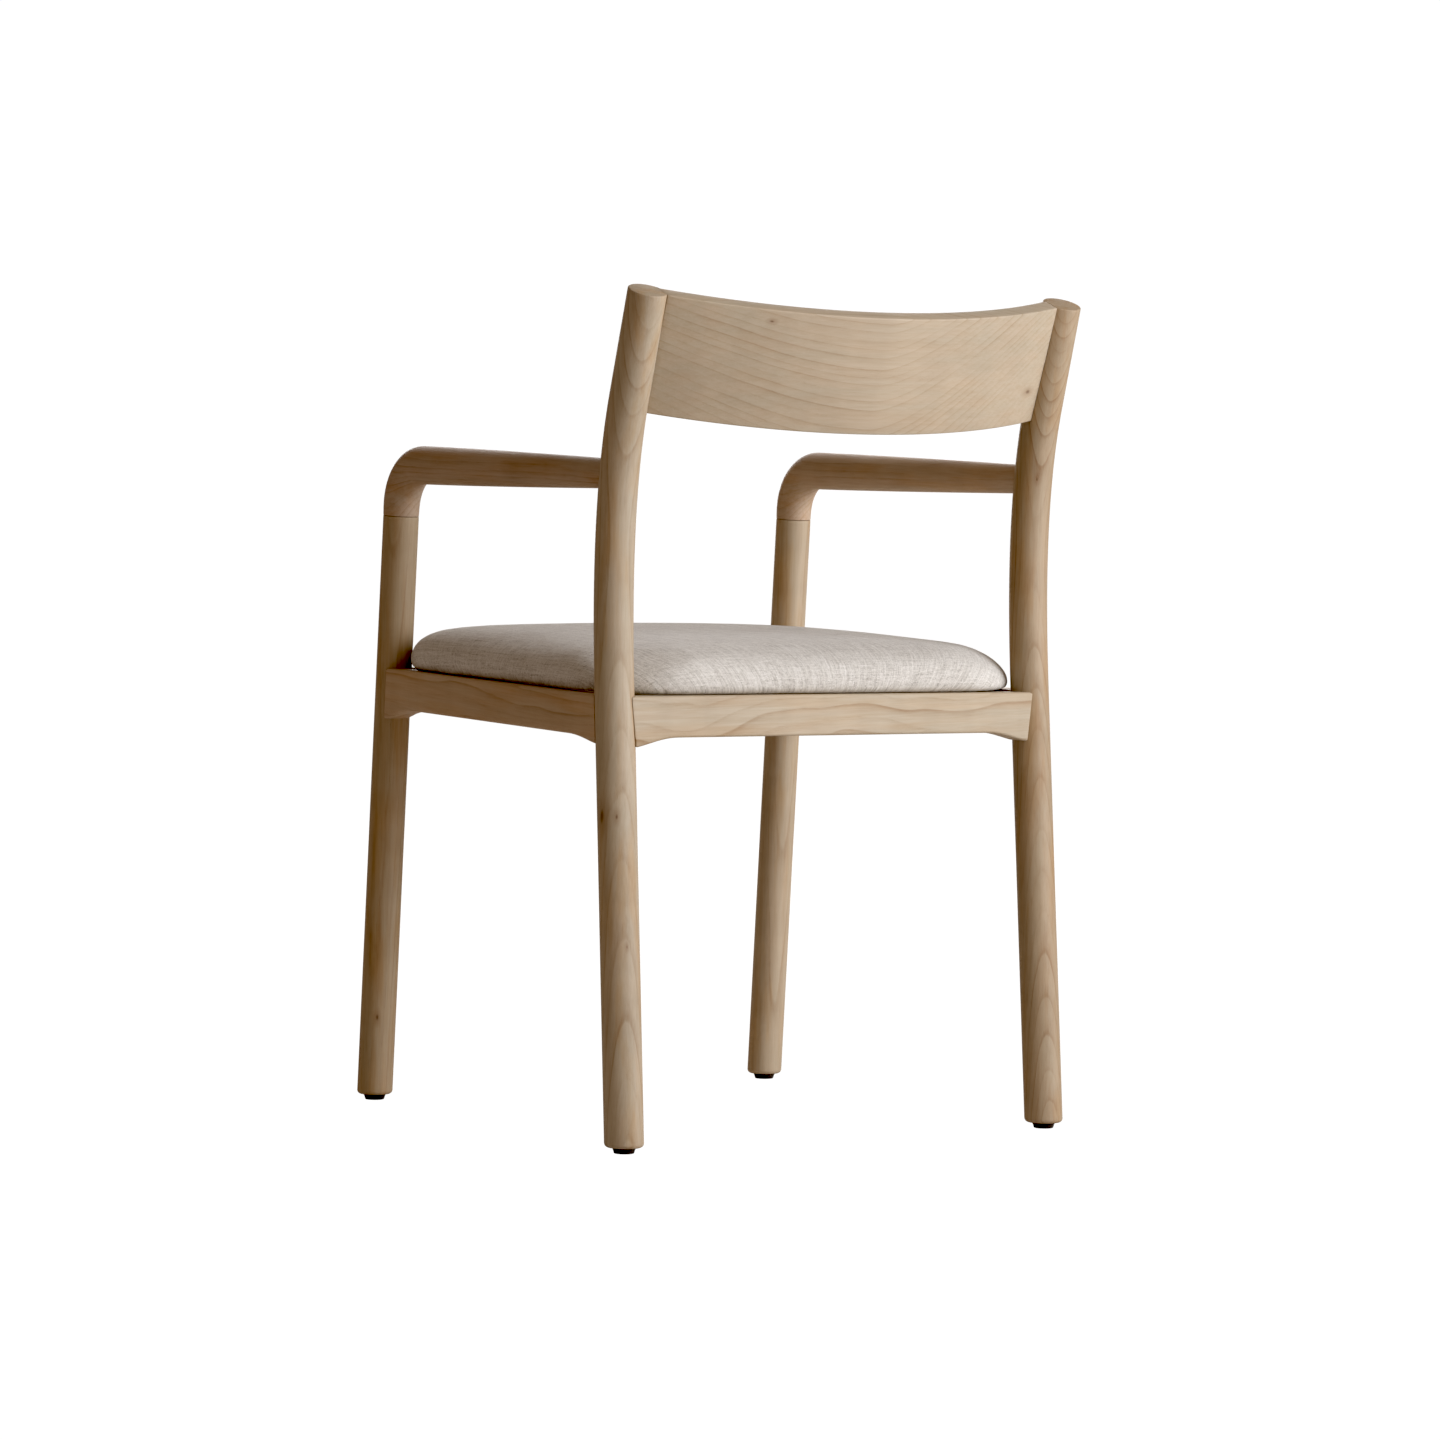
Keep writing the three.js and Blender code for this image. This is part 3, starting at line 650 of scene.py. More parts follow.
def apply_modifiers(piece):
    graph = bpy.context.evaluated_depsgraph_get()
    mesh = bpy.data.meshes.new_from_object(piece.evaluated_get(graph))
    piece.modifiers.clear()
    piece.data = mesh


def to_pad(point):
    """Frame point in metres to the pad's own level layout in millimetres."""
    local = Vector((point.x / MM, point.y / MM - SHIFT, point.z / MM - SEAT_Z))
    return SEAT_LEVEL @ local


def swell(piece):
    """Inflates the pad as cloth, held at its base, and keeps the swelling within a few millimetres."""
    remesh = piece.modifiers.new("remesh", "REMESH")
    remesh.mode = "VOXEL"
    remesh.voxel_size = PAD_VOXEL * MM
    remesh.use_smooth_shade = True
    apply_modifiers(piece)
    rest = [v.co.copy() for v in piece.data.vertices]
    heights = [to_pad(co).z for co in rest]
    held = piece.vertex_groups.new(name="held")
    for i, height in enumerate(heights):
        weight = clamp(1 - (height - PAD_HELD) / PAD_HELD_FADE, 0, 1)
        if weight > 0:
            held.add([i], weight, "REPLACE")
    cloth = piece.modifiers.new("cloth", "CLOTH")
    settings = cloth.settings
    settings.quality = 5
    settings.mass = 0.3
    settings.tension_stiffness = 12
    settings.compression_stiffness = 12
    settings.shear_stiffness = 6
    settings.bending_stiffness = 0.6
    settings.use_pressure = True
    settings.uniform_pressure_force = PAD_PRESSURE
    settings.vertex_group_mass = "held"
    settings.effector_weights.gravity = 0
    cloth.collision_settings.use_self_collision = False
    cloth.collision_settings.use_collision = False
    scene = bpy.context.scene
    for step in range(1, CLOTH_STEPS + 1):
        scene.frame_set(step)
    graph = bpy.context.evaluated_depsgraph_get()
    moved = piece.evaluated_get(graph).to_mesh()
    after = [v.co.copy() for v in moved.vertices]
    piece.evaluated_get(graph).to_mesh_clear()
    piece.modifiers.clear()
    piece.vertex_groups.clear()
    scene.frame_set(1)
    cap = PAD_SWELL_LIMIT * MM
    for vertex, old, new in zip(piece.data.vertices, rest, after):
        step = new - old
        if step.length > cap:
            step *= cap / step.length
        vertex.co = old + step
    sub = piece.modifiers.new("fine", "SUBSURF")
    sub.levels = sub.render_levels = 1
    apply_modifiers(piece)
    tidy(piece, 180)


def clear_of_bars(point):
    """Pushes a layout point sideways out of the posts and legs."""
    for side in (1, -1):
        for centre, radius in ((post_centre, POST_RADIUS), (leg_centre, LEG_RADIUS)):
            middle = centre(side, point.z)
            off = Vector((point.x - middle.x, point.y - middle.y, 0))
            if off.length < radius + PAD_CLEARANCE:
                point = point + off.normalized() * (radius + PAD_CLEARANCE - off.length)
    return point


def settle(piece):
    """Keeps the pad clear of the rails, the posts and the legs."""
    for vertex in piece.data.vertices:
        layout = Vector((vertex.co.x / MM, vertex.co.y / MM - SHIFT, vertex.co.z / MM))
        layout = clear_of_bars(layout)
        local = to_pad(at(*layout))
        local.z = max(local.z, PAD_LOWEST)
        back = SEAT_TILT @ local
        vertex.co = Vector((back.x * MM, (back.y + SHIFT) * MM, (back.z + SEAT_Z) * MM))


def lining(name):
    """The dust cover under the seat: a thin cloth stretched across, sagging a little in the middle."""
    outline = pad_outline()
    count = len(outline)
    shares = [LINING_SHARE * t for t in (1.0, 0.985, 0.96, 0.9, 0.8, 0.68, 0.54, 0.4, 0.26, 0.12)]

    def placed(x, y):
        u, v = x / (PAD_HALF_WIDTH * LINING_SHARE), y / (PAD_END * LINING_SHARE)
        fall = LINING_SAG * clamp(1 - u * u, 0, 1) * clamp(1 - v * v, 0, 1)
        ripple = LINING_RIPPLE * math.sin(9 * u + 2 * v) * math.sin(7 * v - u)
        ripple *= clamp(2 - 2 * max(abs(u), abs(v)), 0, 1)
        return on_seat(Vector((x, y, LINING_LEVEL - fall + ripple)))

    vertices = [placed(p.x * share, p.y * share) for share in shares for p in outline]
    vertices.append(placed(0, 0))
    faces = bands(len(shares), count, downward=True)
    last = (len(shares) - 1) * count
    faces += [(last + j, len(vertices) - 1, last + (j + 1) % count) for j in range(count)]
    piece = make(name, vertices, faces, 60)
    area = sum(face.area for face in piece.data.polygons)
    return piece, area


def staples(name):
    """The staples that hold the dust cover, as one piece: bent wire, crown downwards."""
    outline = [p * (LINING_SHARE * 0.975) for p in pad_outline()]
    loop = outline + outline[:1]
    length = sum((b - a).length for a, b in zip(loop, loop[1:]))
    pieces = []
    gone, done = 0.0, 0
    for a, b in zip(loop, loop[1:]):
        step = (b - a).length
        while done < STAPLE_NUMBER and gone + step >= (done + 0.5) * length / STAPLE_NUMBER:
            middle = a.lerp(b, ((done + 0.5) * length / STAPLE_NUMBER - gone) / step)
            along = (b - a).normalized()
            path = [on_seat(Vector((*(middle + along * t), z))) for t, z in STAPLE_SHAPE]
            rings = [ring(p, d, STAPLE_RADIUS, 8) for p, d in zip(path, tangents(path))]
            pieces.append(skin(f"{name}_{done}", rings))
            done += 1
        gone += step
    first, *rest = pieces
    work = bmesh.new()
    for piece in pieces:
        work.from_mesh(piece.data)
    work.to_mesh(first.data)
    work.free()
    for piece in rest:
        bpy.data.objects.remove(piece, do_unlink=True)
    first.name = name
    return first


# ---------------------------------------------------------------- small parts

def lathe(name, profile, centre, sides=48):
    rings = []
    for radius, z in profile:
        rings.append([centre + Vector((radius * math.cos(a), radius * math.sin(a), z))
                      for a in (i * math.tau / sides for i in range(sides))])
    return skin(name, rings, 40)


GLIDE_PROFILE = [
    (4.2, 1.8), (4.2, 0.25), (4.5, 0.0), (8.6, 0.0), (9.1, 0.15), (9.45, 0.6), (10.2, 3.0), (10.85, 4.3),
    (10.95, 4.7), (10.8, 5.0), (10.5, 5.1),
]


# ---------------------------------------------------------------- materials

def linear(hex_colour):
    """An sRGB hex colour as linear RGBA."""
    parts = [int(hex_colour[i:i + 2], 16) / 255 for i in (1, 3, 5)]
    return (*[p / 12.92 if p <= 0.04045 else ((p + 0.055) / 1.055) ** 2.4 for p in parts], 1.0)


class Nodes:
    """A small helper that adds and links shader nodes."""

    def __init__(self, name):
        self.material = bpy.data.materials.new(name)
        self.material.use_nodes = True
        self.tree = self.material.node_tree
        self.tree.nodes.clear()
        self.out = self.tree.nodes.new("ShaderNodeOutputMaterial")
        self.shader = self.tree.nodes.new("ShaderNodeBsdfPrincipled")
        self.link(self.shader.outputs[0], self.out.inputs[0])

    def link(self, a, b):
        self.tree.links.new(a, b)

    def put(self, socket, value):
        if isinstance(value, bpy.types.NodeSocket):
            self.link(value, socket)
        else:
            socket.default_value = value

    def set(self, name, value):
        """Sets or links an input of the surface shader."""
        self.put(self.shader.inputs[name], value)

    def math(self, operation, *values, clamped=False):
        node = self.tree.nodes.new("ShaderNodeMath")
        node.operation = operation
        node.use_clamp = clamped
        for socket, value in zip(node.inputs, values):
            self.put(socket, value)
        return node.outputs[0]

    def times(self, a, b):
        return self.math("MULTIPLY", a, b)

    def plus(self, a, b, clamped=False):
        return self.math("ADD", a, b, clamped=clamped)

    def minus(self, a, b):
        return self.math("SUBTRACT", a, b)

    def wave(self, value, beat):
        return self.math("SINE", self.times(value, beat))

    def vector(self, operation, *values, scale=None):
        node = self.tree.nodes.new("ShaderNodeVectorMath")
        node.operation = operation
        for socket, value in zip(node.inputs, values):
            self.put(socket, value)
        if scale is not None:
            self.put(node.inputs["Scale"], scale)
        return node.outputs[1] if operation in ("LENGTH", "DISTANCE", "DOT_PRODUCT") else node.outputs[0]

    def split(self, value):
        node = self.tree.nodes.new("ShaderNodeSeparateXYZ")
        self.put(node.inputs[0], value)
        return node.outputs

    def join(self, x, y, z):
        node = self.tree.nodes.new("ShaderNodeCombineXYZ")
        for socket, value in zip(node.inputs, (x, y, z)):
            self.put(socket, value)
        return node.outputs[0]

    def noise(self, vector, scale, detail=2.0, rough=0.5, colour=False):
        node = self.tree.nodes.new("ShaderNodeTexNoise")
        self.put(node.inputs["Vector"], vector)
        self.put(node.inputs["Scale"], scale)
        self.put(node.inputs["Detail"], detail)
        self.put(node.inputs["Roughness"], rough)
        return node.outputs["Color" if colour else "Fac"]

    def ramp(self, value, stops):
        node = self.tree.nodes.new("ShaderNodeValToRGB")
        self.put(node.inputs[0], value)
        elements = node.color_ramp.elements
        while len(elements) < len(stops):
            elements.new(0.5)
        for element, (place, colour) in zip(elements, stops):
            element.position = place
            element.color = colour
        return node.outputs[0]

    def grey_ramp(self, value, stops):
        return self.ramp(value, [(place, (grey, grey, grey, 1.0)) for place, grey in stops])

    def mix(self, share, a, b, mode="MIX"):
        node = self.tree.nodes.new("ShaderNodeMix")
        node.data_type = "RGBA"
        node.blend_type = mode
        self.put(node.inputs[0], share)
        self.put(node.inputs[6], a)
        self.put(node.inputs[7], b)
        return node.outputs[2]

    def span(self, value, low, high, to_low=0.0, to_high=1.0):
        node = self.tree.nodes.new("ShaderNodeMapRange")
        for socket, number in zip(node.inputs, (value, low, high, to_low, to_high)):
            self.put(socket, number)
        return node.outputs[0]

    def bump(self, height, distance, strength):
        node = self.tree.nodes.new("ShaderNodeBump")
        node.inputs["Strength"].default_value = strength
        node.inputs["Distance"].default_value = distance
        self.put(node.inputs["Height"], height)
        return node.outputs[0]

    def position(self):
        return self.tree.nodes.new("ShaderNodeTexCoord").outputs["Object"]

    def scaled(self, vector, x, y, z):
        return self.vector("MULTIPLY", vector, (x, y, z))


KNOT_RIM = "#8a6c52"
KNOT_HEART = "#5f4633"


def wood(name, centre, grain, normal, pith, spacing, tone, contrast=1.0, knots=(),
         wave=(3.2, 0.011), sweep=(0.0, 0.04), soft=0.0, flush=0.1, seed=0.0):
    """Solid wood: growth rings about a pith line outside the piece, cut open wherever the surface runs.

    centre is a point of the piece, grain the fibre direction, normal the way the rings face there, pith its
    distance. wave is how often and how far the grain wanders, and sweep how much it bends past the centre.
    soft blurs the ring lines, and flush is the strength of the warm patches of heartwood.
    """
    n = Nodes(name)
    grain = Vector(grain).normalized()
    facing = Vector(normal)
    facing = (facing - grain * facing.dot(grain)).normalized()
    origin = Vector(centre) - facing * pith
    axes = Matrix((facing, grain.cross(facing), grain)).transposed()
    mapping = n.tree.nodes.new("ShaderNodeMapping")
    mapping.vector_type = "TEXTURE"
    mapping.inputs["Location"].default_value = origin
    mapping.inputs["Rotation"].default_value = axes.to_euler()
    n.link(n.position(), mapping.inputs["Vector"])
    raw = mapping.outputs[0]
    seeded = n.vector("ADD", raw, (seed, seed * 0.7, seed * 1.3))

    def cloud(across, along, detail, rough=0.5):
        return n.noise(n.scaled(seeded, across, across, along), 1.0, detail, rough)

    def wander(across, along, rough, reach):
        off = n.noise(n.scaled(seeded, across, across, along), 1.0, 2.0, rough, colour=True)
        return n.vector("SCALE", n.vector("SUBTRACT", off, (0.5, 0.5, 0.5)), scale=reach)

    often, far = wave
    slow = wander(9, often, 0.45, 2 * far)
    fine = wander(60, 9, 0.5, 0.0013)
    place = n.vector("ADD", n.vector("ADD", raw, slow), fine)
    x, y, z = n.split(place)
    slope, ease = sweep
    past = n.math("MAXIMUM", n.times(z, -1.0), 0.0)
    past = n.math("SQRT", n.plus(n.times(past, past), ease * ease))
    x = n.minus(x, n.times(n.minus(past, ease), slope))
    stains = []
    for spot, size in knots:
        off = n.vector("SUBTRACT", n.position(), spot)
        along = n.vector("SCALE", tuple(grain), scale=n.vector("DOT_PRODUCT", off, tuple(grain)))
        away = n.vector("LENGTH", n.vector("SUBTRACT", off, n.vector("SCALE", along, scale=0.55)))
        pull = n.span(away, 0.0, size * 6, 1.0, 0.0)
        x = n.plus(x, n.times(n.times(pull, pull), size * 1.6))
        stains.append((away, size))
    radius = n.vector("LENGTH", n.join(x, y, 0.0))
    uneven = n.noise(n.join(n.times(radius, 48.0), seed, 0.0), 1.0, 1.0)
    turns = n.plus(n.math("DIVIDE", radius, spacing), n.times(uneven, 1.3))
    phase = n.math("FRACT", turns)
    line = n.grey_ramp(phase, [
        (0.0, 0.10 * soft), (0.50 - 0.15 * soft, 0.14), (0.80 - 0.10 * soft, 0.44),
        (0.91, 1.0), (0.95, 0.9), (1.0, 0.10 * soft),
    ])
    which = n.math("FLOOR", turns)
    weight = n.noise(n.join(n.times(which, 7.31), seed, 0.3), 1.0, 0.0)
    weight = n.span(weight, 0.3, 0.7, 0.25, 1.0)
    patch = n.span(cloud(26, 7, 1.0), 0.3, 0.7, 0.35, 1.2)
    rings = n.times(n.times(line, weight), patch)

    fibre = cloud(700, 26, 3.0, 0.6)
    streak = cloud(190, 9, 3.0, 0.55)
    broad = cloud(75, 4, 2.0)
    figure = cloud(6, 34, 2.0)
    pore = cloud(1900, 95, 2.0)
    pore = n.span(pore, 0.56, 0.70, 0.0, 1.0)
    pore = n.times(pore, n.span(phase, 0.5, 1.0, 0.25, 1.0))

    light, dark = linear(tone[0]), linear(tone[1])
    amount = n.times(rings, 0.66 * contrast)
    amount = n.plus(amount, n.span(streak, 0.3, 0.7, -0.04, 0.22))
    amount = n.plus(amount, n.span(fibre, 0.3, 0.7, -0.09, 0.11))
    amount = n.plus(amount, n.times(pore, 0.22), clamped=True)
    colour = n.mix(amount, light, dark)
    tint = n.mix(n.span(broad, 0.34, 0.66), (0.975, 0.99, 0.975, 1.0), (1.01, 0.99, 0.96, 1.0))
    colour = n.mix(1.0, colour, tint, "MULTIPLY")
    heart = cloud(58, 8, 3.0, 0.55)
    warmth = n.span(heart, 0.47, 0.66, 0.0, flush)
    colour = n.mix(warmth, colour, n.mix(1.0, colour, (0.96, 0.80, 0.62, 1.0), "MULTIPLY"))
    mottle = cloud(14, 5, 2.0)
    shade = n.plus(n.span(mottle, 0.3, 0.7, 0.94, 1.03), n.span(figure, 0.35, 0.65, -0.022, 0.022))
    colour = n.mix(1.0, colour, n.join(shade, shade, shade), "MULTIPLY")
    for away, size in stains:
        away = n.plus(away, n.times(n.minus(streak, 0.5), size * 1.4))
        colour = n.mix(n.span(away, size * 0.5, size * 3.8, 0.42, 0.0), colour, linear(KNOT_RIM))
        colour = n.mix(n.span(away, size * 0.25, size * 1.1, 0.62, 0.0), colour, linear(KNOT_HEART))
    n.set("Base Color", colour)
    rough = n.plus(n.span(fibre, 0.3, 0.7, 0.50, 0.60), n.times(rings, 0.08))
    n.set("Roughness", rough)
    n.set("Specular IOR Level", 0.35)
    height = n.minus(n.times(fibre, 0.45), n.times(pore, 0.8))
    height = n.minus(height, n.times(rings, 0.35))
    n.set("Normal", n.bump(height, 0.00022, 0.5))
    return n.material


def linen():
    """Heathered linen-look cloth: slubby threads both ways, running over the pad's edges."""
    n = Nodes("linen_weave")
    x, y, z = n.split(n.position())
    drop = n.minus(0.48, z)
    u = n.plus(x, n.times(drop, n.span(x, -0.16, 0.16, -1.0, 1.0)))
    v = n.plus(y, n.times(drop, n.span(y, -0.18, 0.14, -1.0, 1.0)))
    wobble = n.noise(n.join(n.times(u, 30.0), n.times(v, 30.0), 0.0), 1.0, 2.0, colour=True)
    wobble = n.vector("SCALE", n.vector("SUBTRACT", wobble, (0.5, 0.5, 0.5)), scale=0.004)
    wx, wy, _ = n.split(wobble)
    u = n.plus(u, wx)
    v = n.plus(v, wy)
    pitch = 0.00105

    def threads(across, along, seed):
        lane = n.math("FLOOR", n.math("DIVIDE", across, pitch))
        slub = n.noise(n.join(n.times(lane, 3.7), n.times(along, 55.0), seed), 1.0, 2.0, 0.55)
        tuft = n.noise(n.join(n.times(lane, 1.9), n.times(along, 260.0), seed + 4), 1.0, 2.0)
        group = n.noise(n.join(n.times(across, 430.0), n.times(along, 14.0), seed + 9), 1.0, 2.0)
        round_ = n.math("SINE", n.times(n.math("DIVIDE", across, pitch), math.pi))
        return slub, tuft, group, n.math("ABSOLUTE", round_)

    slub_u, tuft_u, group_u, shape_u = threads(u, v, 0.0)
    slub_v, tuft_v, group_v, shape_v = threads(v, u, 20.0)
    beat = math.pi / pitch
    over = n.math("GREATER_THAN", n.times(n.wave(u, beat), n.wave(v, beat)), 0.0)
    warp = n.plus(n.times(slub_u, 0.5), n.times(tuft_u, 0.5))
    weft = n.plus(n.times(slub_v, 0.5), n.times(tuft_v, 0.5))
    pick = n.plus(n.times(warp, over), n.times(weft, n.minus(1.0, over)))
    heather = n.plus(n.times(pick, 0.68), n.times(group_u, 0.20))
    heather = n.plus(heather, n.times(group_v, 0.12))
    colour = n.ramp(heather, [
        (0.34, linear("#8d8981")), (0.43, linear("#bdb9b1")),
        (0.52, linear("#d7d4cc")), (0.64, linear("#edebe6")),
    ])
    n.set("Base Color", colour)
    n.set("Roughness", 0.93)
    n.set("Specular IOR Level", 0.2)
    n.set("Sheen Weight", 0.25)
    n.set("Sheen Roughness", 0.5)
    crown = n.plus(n.times(shape_u, over), n.times(shape_v, n.minus(1.0, over)))
    height = n.plus(n.times(crown, 0.6), n.times(pick, 0.9))
    height = n.plus(height, n.times(group_u, 0.5))
    n.set("Normal", n.bump(height, 0.00035, 0.6))
    return n.material


def plastic():
    n = Nodes("glide_plastic")
    speck = n.noise(n.position(), 900.0, 3.0)
    n.set("Base Color", n.mix(n.span(speck, 0.3, 0.7), linear("#322d2b"), linear("#413b38")))
    n.set("Roughness", n.span(speck, 0.3, 0.7, 0.42, 0.58))
    n.set("Normal", n.bump(speck, 0.00005, 0.4))
    return n.material


def steel():
    n = Nodes("zinc_steel")
    speck = n.noise(n.position(), 1400.0, 3.0)
    n.set("Base Color", n.mix(n.span(speck, 0.3, 0.7), linear("#9c9ea3"), linear("#c2c3c4")))
    n.set("Metallic", 1.0)
    n.set("Roughness", n.span(speck, 0.3, 0.7, 0.28, 0.44))
    return n.material


def dust_cloth():
    """Thin black non-woven lining with its embossed dot pattern."""
    n = Nodes("dust_cloth_lining")
    x, y, _ = n.split(n.position())
    beat = 2 * math.pi / 0.0016
    dots = n.times(n.wave(n.plus(x, y), beat), n.wave(n.minus(x, y), beat))
    hair = n.noise(n.position(), 420.0, 4.0, 0.65)
    shade = n.plus(n.times(hair, 0.8), n.times(dots, 0.12))
    n.set("Base Color", n.mix(n.span(shade, 0.2, 0.7), linear("#2b2b2f"), linear("#55555c")))
    n.set("Roughness", 0.92)
    n.set("Normal", n.bump(n.plus(dots, hair), 0.0001, 0.6))
    return n.material


def paint(piece, material):
    piece.data.materials.clear()
    piece.data.materials.append(material)


def finish_piece(piece, material, slot, *nodes):
    paint(piece, material)
    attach(piece, "root")
    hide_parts(*nodes)
    return piece


def at(x, y, z):
    """A layout point in millimetres as a frame point in metres."""
    return Vector((x * MM, (y + SHIFT) * MM, z * MM))


# ---------------------------------------------------------------- the chair

def subtract(piece, tool):
    cutter = piece.modifiers.new("cut", "BOOLEAN")
    cutter.operation = "DIFFERENCE"
    cutter.solver = "EXACT"
    cutter.object = tool
    apply_modifiers(piece)
    tidy(piece)


TONES = {
    "rail": ("#c1b5a1", "#9f876c"),
    "side_rail": ("#c3af99", "#a08366"),
    "arm_left": ("#b7a491", "#94775d"),
    "arm_right": ("#c5b19c", "#a08064"),
    "crest": ("#beb19d", "#a69177"),
    "post_left": ("#b9ac98", "#988067"),
    "post_right": ("#b1a089", "#907458"),
    "leg_left": ("#b1a088", "#907359"),
    "leg_right": ("#bfaf98", "#9e8267"),
    "joinery": ("#c9b08c", "#a88a66"),
    "plywood": ("#c4aa84", "#9c7e58"),
}


def on_bar(centre, radius, turn):
    """A point on a round bar's surface, turned so many degrees from +X."""
    angle = math.radians(turn)
    return at(centre.x + radius * math.cos(angle), centre.y + radius * math.sin(angle), centre.z)


def on_panel(x, down):
    """A point on the crest panel's rear face, so far below its top edge."""
    angle = math.asin(x / PANEL_RADIUS)
    flat = Vector((x, PANEL_CENTRE_Y + PANEL_RADIUS * math.cos(angle), -down))
    return at(*(PANEL_TURN @ flat + PANEL_PLACE))


def facing(turn):
    angle = math.radians(turn)
    return (math.cos(angle), math.sin(angle), 0.0)


def on_post(side, height, turn):
    """A point on a rear post's surface, turned so many degrees from +X."""
    centre = min(post_points(side), key=lambda point: abs(point.z - height))
    return on_bar(centre, POST_RADIUS, turn)


POST_KNOTS = {
    "left": ((on_post(1, 311, 10), 0.0032), (on_post(1, 305, 58), 0.0013), (on_post(1, 180, 80), 0.0009)),
    "right": ((on_post(-1, 628, 66), 0.0011),),
}
POST_RINGS = {"left": 0.0064, "right": 0.0041}
LEG_KNOTS = {
    "left": ((on_bar(leg_centre(1, 84), LEG_RADIUS, 58), 0.0013),),
    "right": ((on_bar(leg_centre(-1, 300), LEG_RADIUS, -60), 0.0012),),
}

# The crest panel's space in the posts.
panel_space = panel_body("panel_space", PANEL_CLEARANCE, PANEL_SPACE_RISE, 0.0)
for side_name, side in (("left", 1), ("right", -1)):
    post = rear_post(side, f"post_rear_{side_name}")
    subtract(post, panel_space)
    finish_piece(post, wood(
        f"ash_post_{side_name}", at(side * 235, 205, 500), (0.0, 0.032, 1), facing(72), 0.16,
        POST_RINGS[side_name], TONES[f"post_{side_name}"], 0.82, POST_KNOTS[side_name], (3.0, 0.006),
        flush=0.6, seed=1.3 + side,
    ), "ash_wood", f"rear_post_{side_name}")

    leg = front_leg(side, f"leg_front_{side_name}")
    finish_piece(leg, wood(
        f"ash_leg_{side_name}", at(side * 230, -225, 300), (0.01, LEG_RAKE - 0.03, 1),
        facing(58 - 20 * side), 0.11, 0.0052, TONES[f"leg_{side_name}"], 0.65, LEG_KNOTS[side_name],
        (3.2, 0.007),
        flush=0.6, seed=5.1 + side,
    ), "ash_wood", f"front_leg_{side_name}")

    bar = arm(side, f"arm_{side_name}_bar")
    finish_piece(bar, wood(
        f"ash_arm_{side_name}", at(side * 232, 0, 630), (0.01, 1, -0.03), (0.5, 0, 0.86), 0.12, 0.0050,
        TONES[f"arm_{side_name}"], 0.7, wave=(3.2, 0.007), flush=0.5, seed=9.7 + side,
    ), "ash_wood", f"arm_{side_name}")

    rail = side_rail(side, f"rail_{side_name}")
    finish_piece(rail, wood(
        f"ash_side_rail_{side_name}", at(side * 240, 0, 405), (0.0, 1, -0.05), (0.7, 0, 0.7), 0.10, 0.0085,
        TONES["side_rail"], 0.85, wave=(5.0, 0.015), soft=0.8, flush=0.4, seed=14.2 + side,
    ), "ash_wood", f"side_rail_{side_name}")

bpy.data.objects.remove(panel_space, do_unlink=True)

for name, node, end, centre, face, radius, slope, seed in (
    ("rail_back", "rear_rail", 1, REAR, REAR_FACE, POST_RADIUS, -math.tan(POST_RAKE), 21.5),
    ("rail_front", "front_rail", -1, FRONT, FRONT_FACE, LEG_RADIUS, LEG_RAKE, 24.8),
):
    rail = cross_rail(name, end, centre, face, radius, slope)
    finish_piece(rail, wood(
        f"ash_{node}", at(0, face, 403), (1, 0.0, -0.03), (0, 0.75, 0.66), 0.09, 0.0095,
        TONES["rail"], 1.0, wave=(7.0, 0.022), soft=0.7, flush=0.3, seed=seed,
    ), "ash_wood", node)

crest = panel_body("crest_panel", 0.0, 0.0, 1.6)
panel_up = PANEL_TURN @ Vector((0, math.cos(math.radians(57)), math.sin(math.radians(57))))
finish_piece(crest, wood(
    "ash_crest", at(5, 268, 735), (1, 0.01, 0.0), panel_up, 0.24, 0.0066,
    TONES["crest"], 0.85, ((on_panel(-199, 82), 0.0019), (on_panel(123, 11), 0.0011)),
    (3.2, 0.005), (0.42, 0.035), seed=31.0,
), "ash_wood", "back_panel")

pad = seat_pad("seat_cushion")
swell(pad)
settle(pad)
finish_piece(pad, linen(), "linen_cloth", "seat_cover", "seat_foam")

black = plastic()
for side_name, side in (("left", 1), ("right", -1)):
    for end_name, centre in (("rear", post_centre), ("front", leg_centre)):
        foot = centre(side, FOOT_BOTTOM)
        glide = lathe(f"foot_glide_{end_name}_{side_name}", GLIDE_PROFILE, Vector((foot.x, foot.y, 0)))
        finish_piece(glide, black, "black_plastic", f"glide_{end_name}_{side_name}")

beech = wood("beech_joinery", (0, 0, 0.4), (1, 0.2, 0.1), (0, 0.3, 1), 0.2, 0.0035, TONES["joinery"], 0.6)
ply = wood("plywood_sheet", (0, 0, 0.42), (0, 1, 0), (0.1, 0, 1), 0.3, 0.0045, TONES["plywood"], 0.7)
zinc = steel()
under, under_area = lining("seat_lining")
finish_piece(under, dust_cloth(), "dust_cloth", "dust_cover")
wires = staples("lining_staples")
paint(wires, zinc)
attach(wires, "root")
looks = {"beech_wood": beech, "plywood": ply, "steel": zinc}
for entry in frame["record"]["subparts"]:
    look = looks.get(entry["material_slot"])
    if look is not None:
        paint(frame["nodes"][entry["node"]], look)


# ---------------------------------------------------------------- floor, light and camera

FLOOR_HALF = 60.0
FLOOR_COLOUR = (0.68, 0.62, 0.57, 1.0)
FLOOR_GLOW = 1.12
FLOOR_GLOW_SHARE = 0.9
SKY_COLOUR = (1.0, 0.80, 0.66, 1.0)
SKY_STRENGTH = 0.30
BACKDROP_STRENGTH = 1.03
LAMP_TARGET = (0, 0, 0.45)
BLACK_LEVEL = (0.04, 0.04, 0.04)

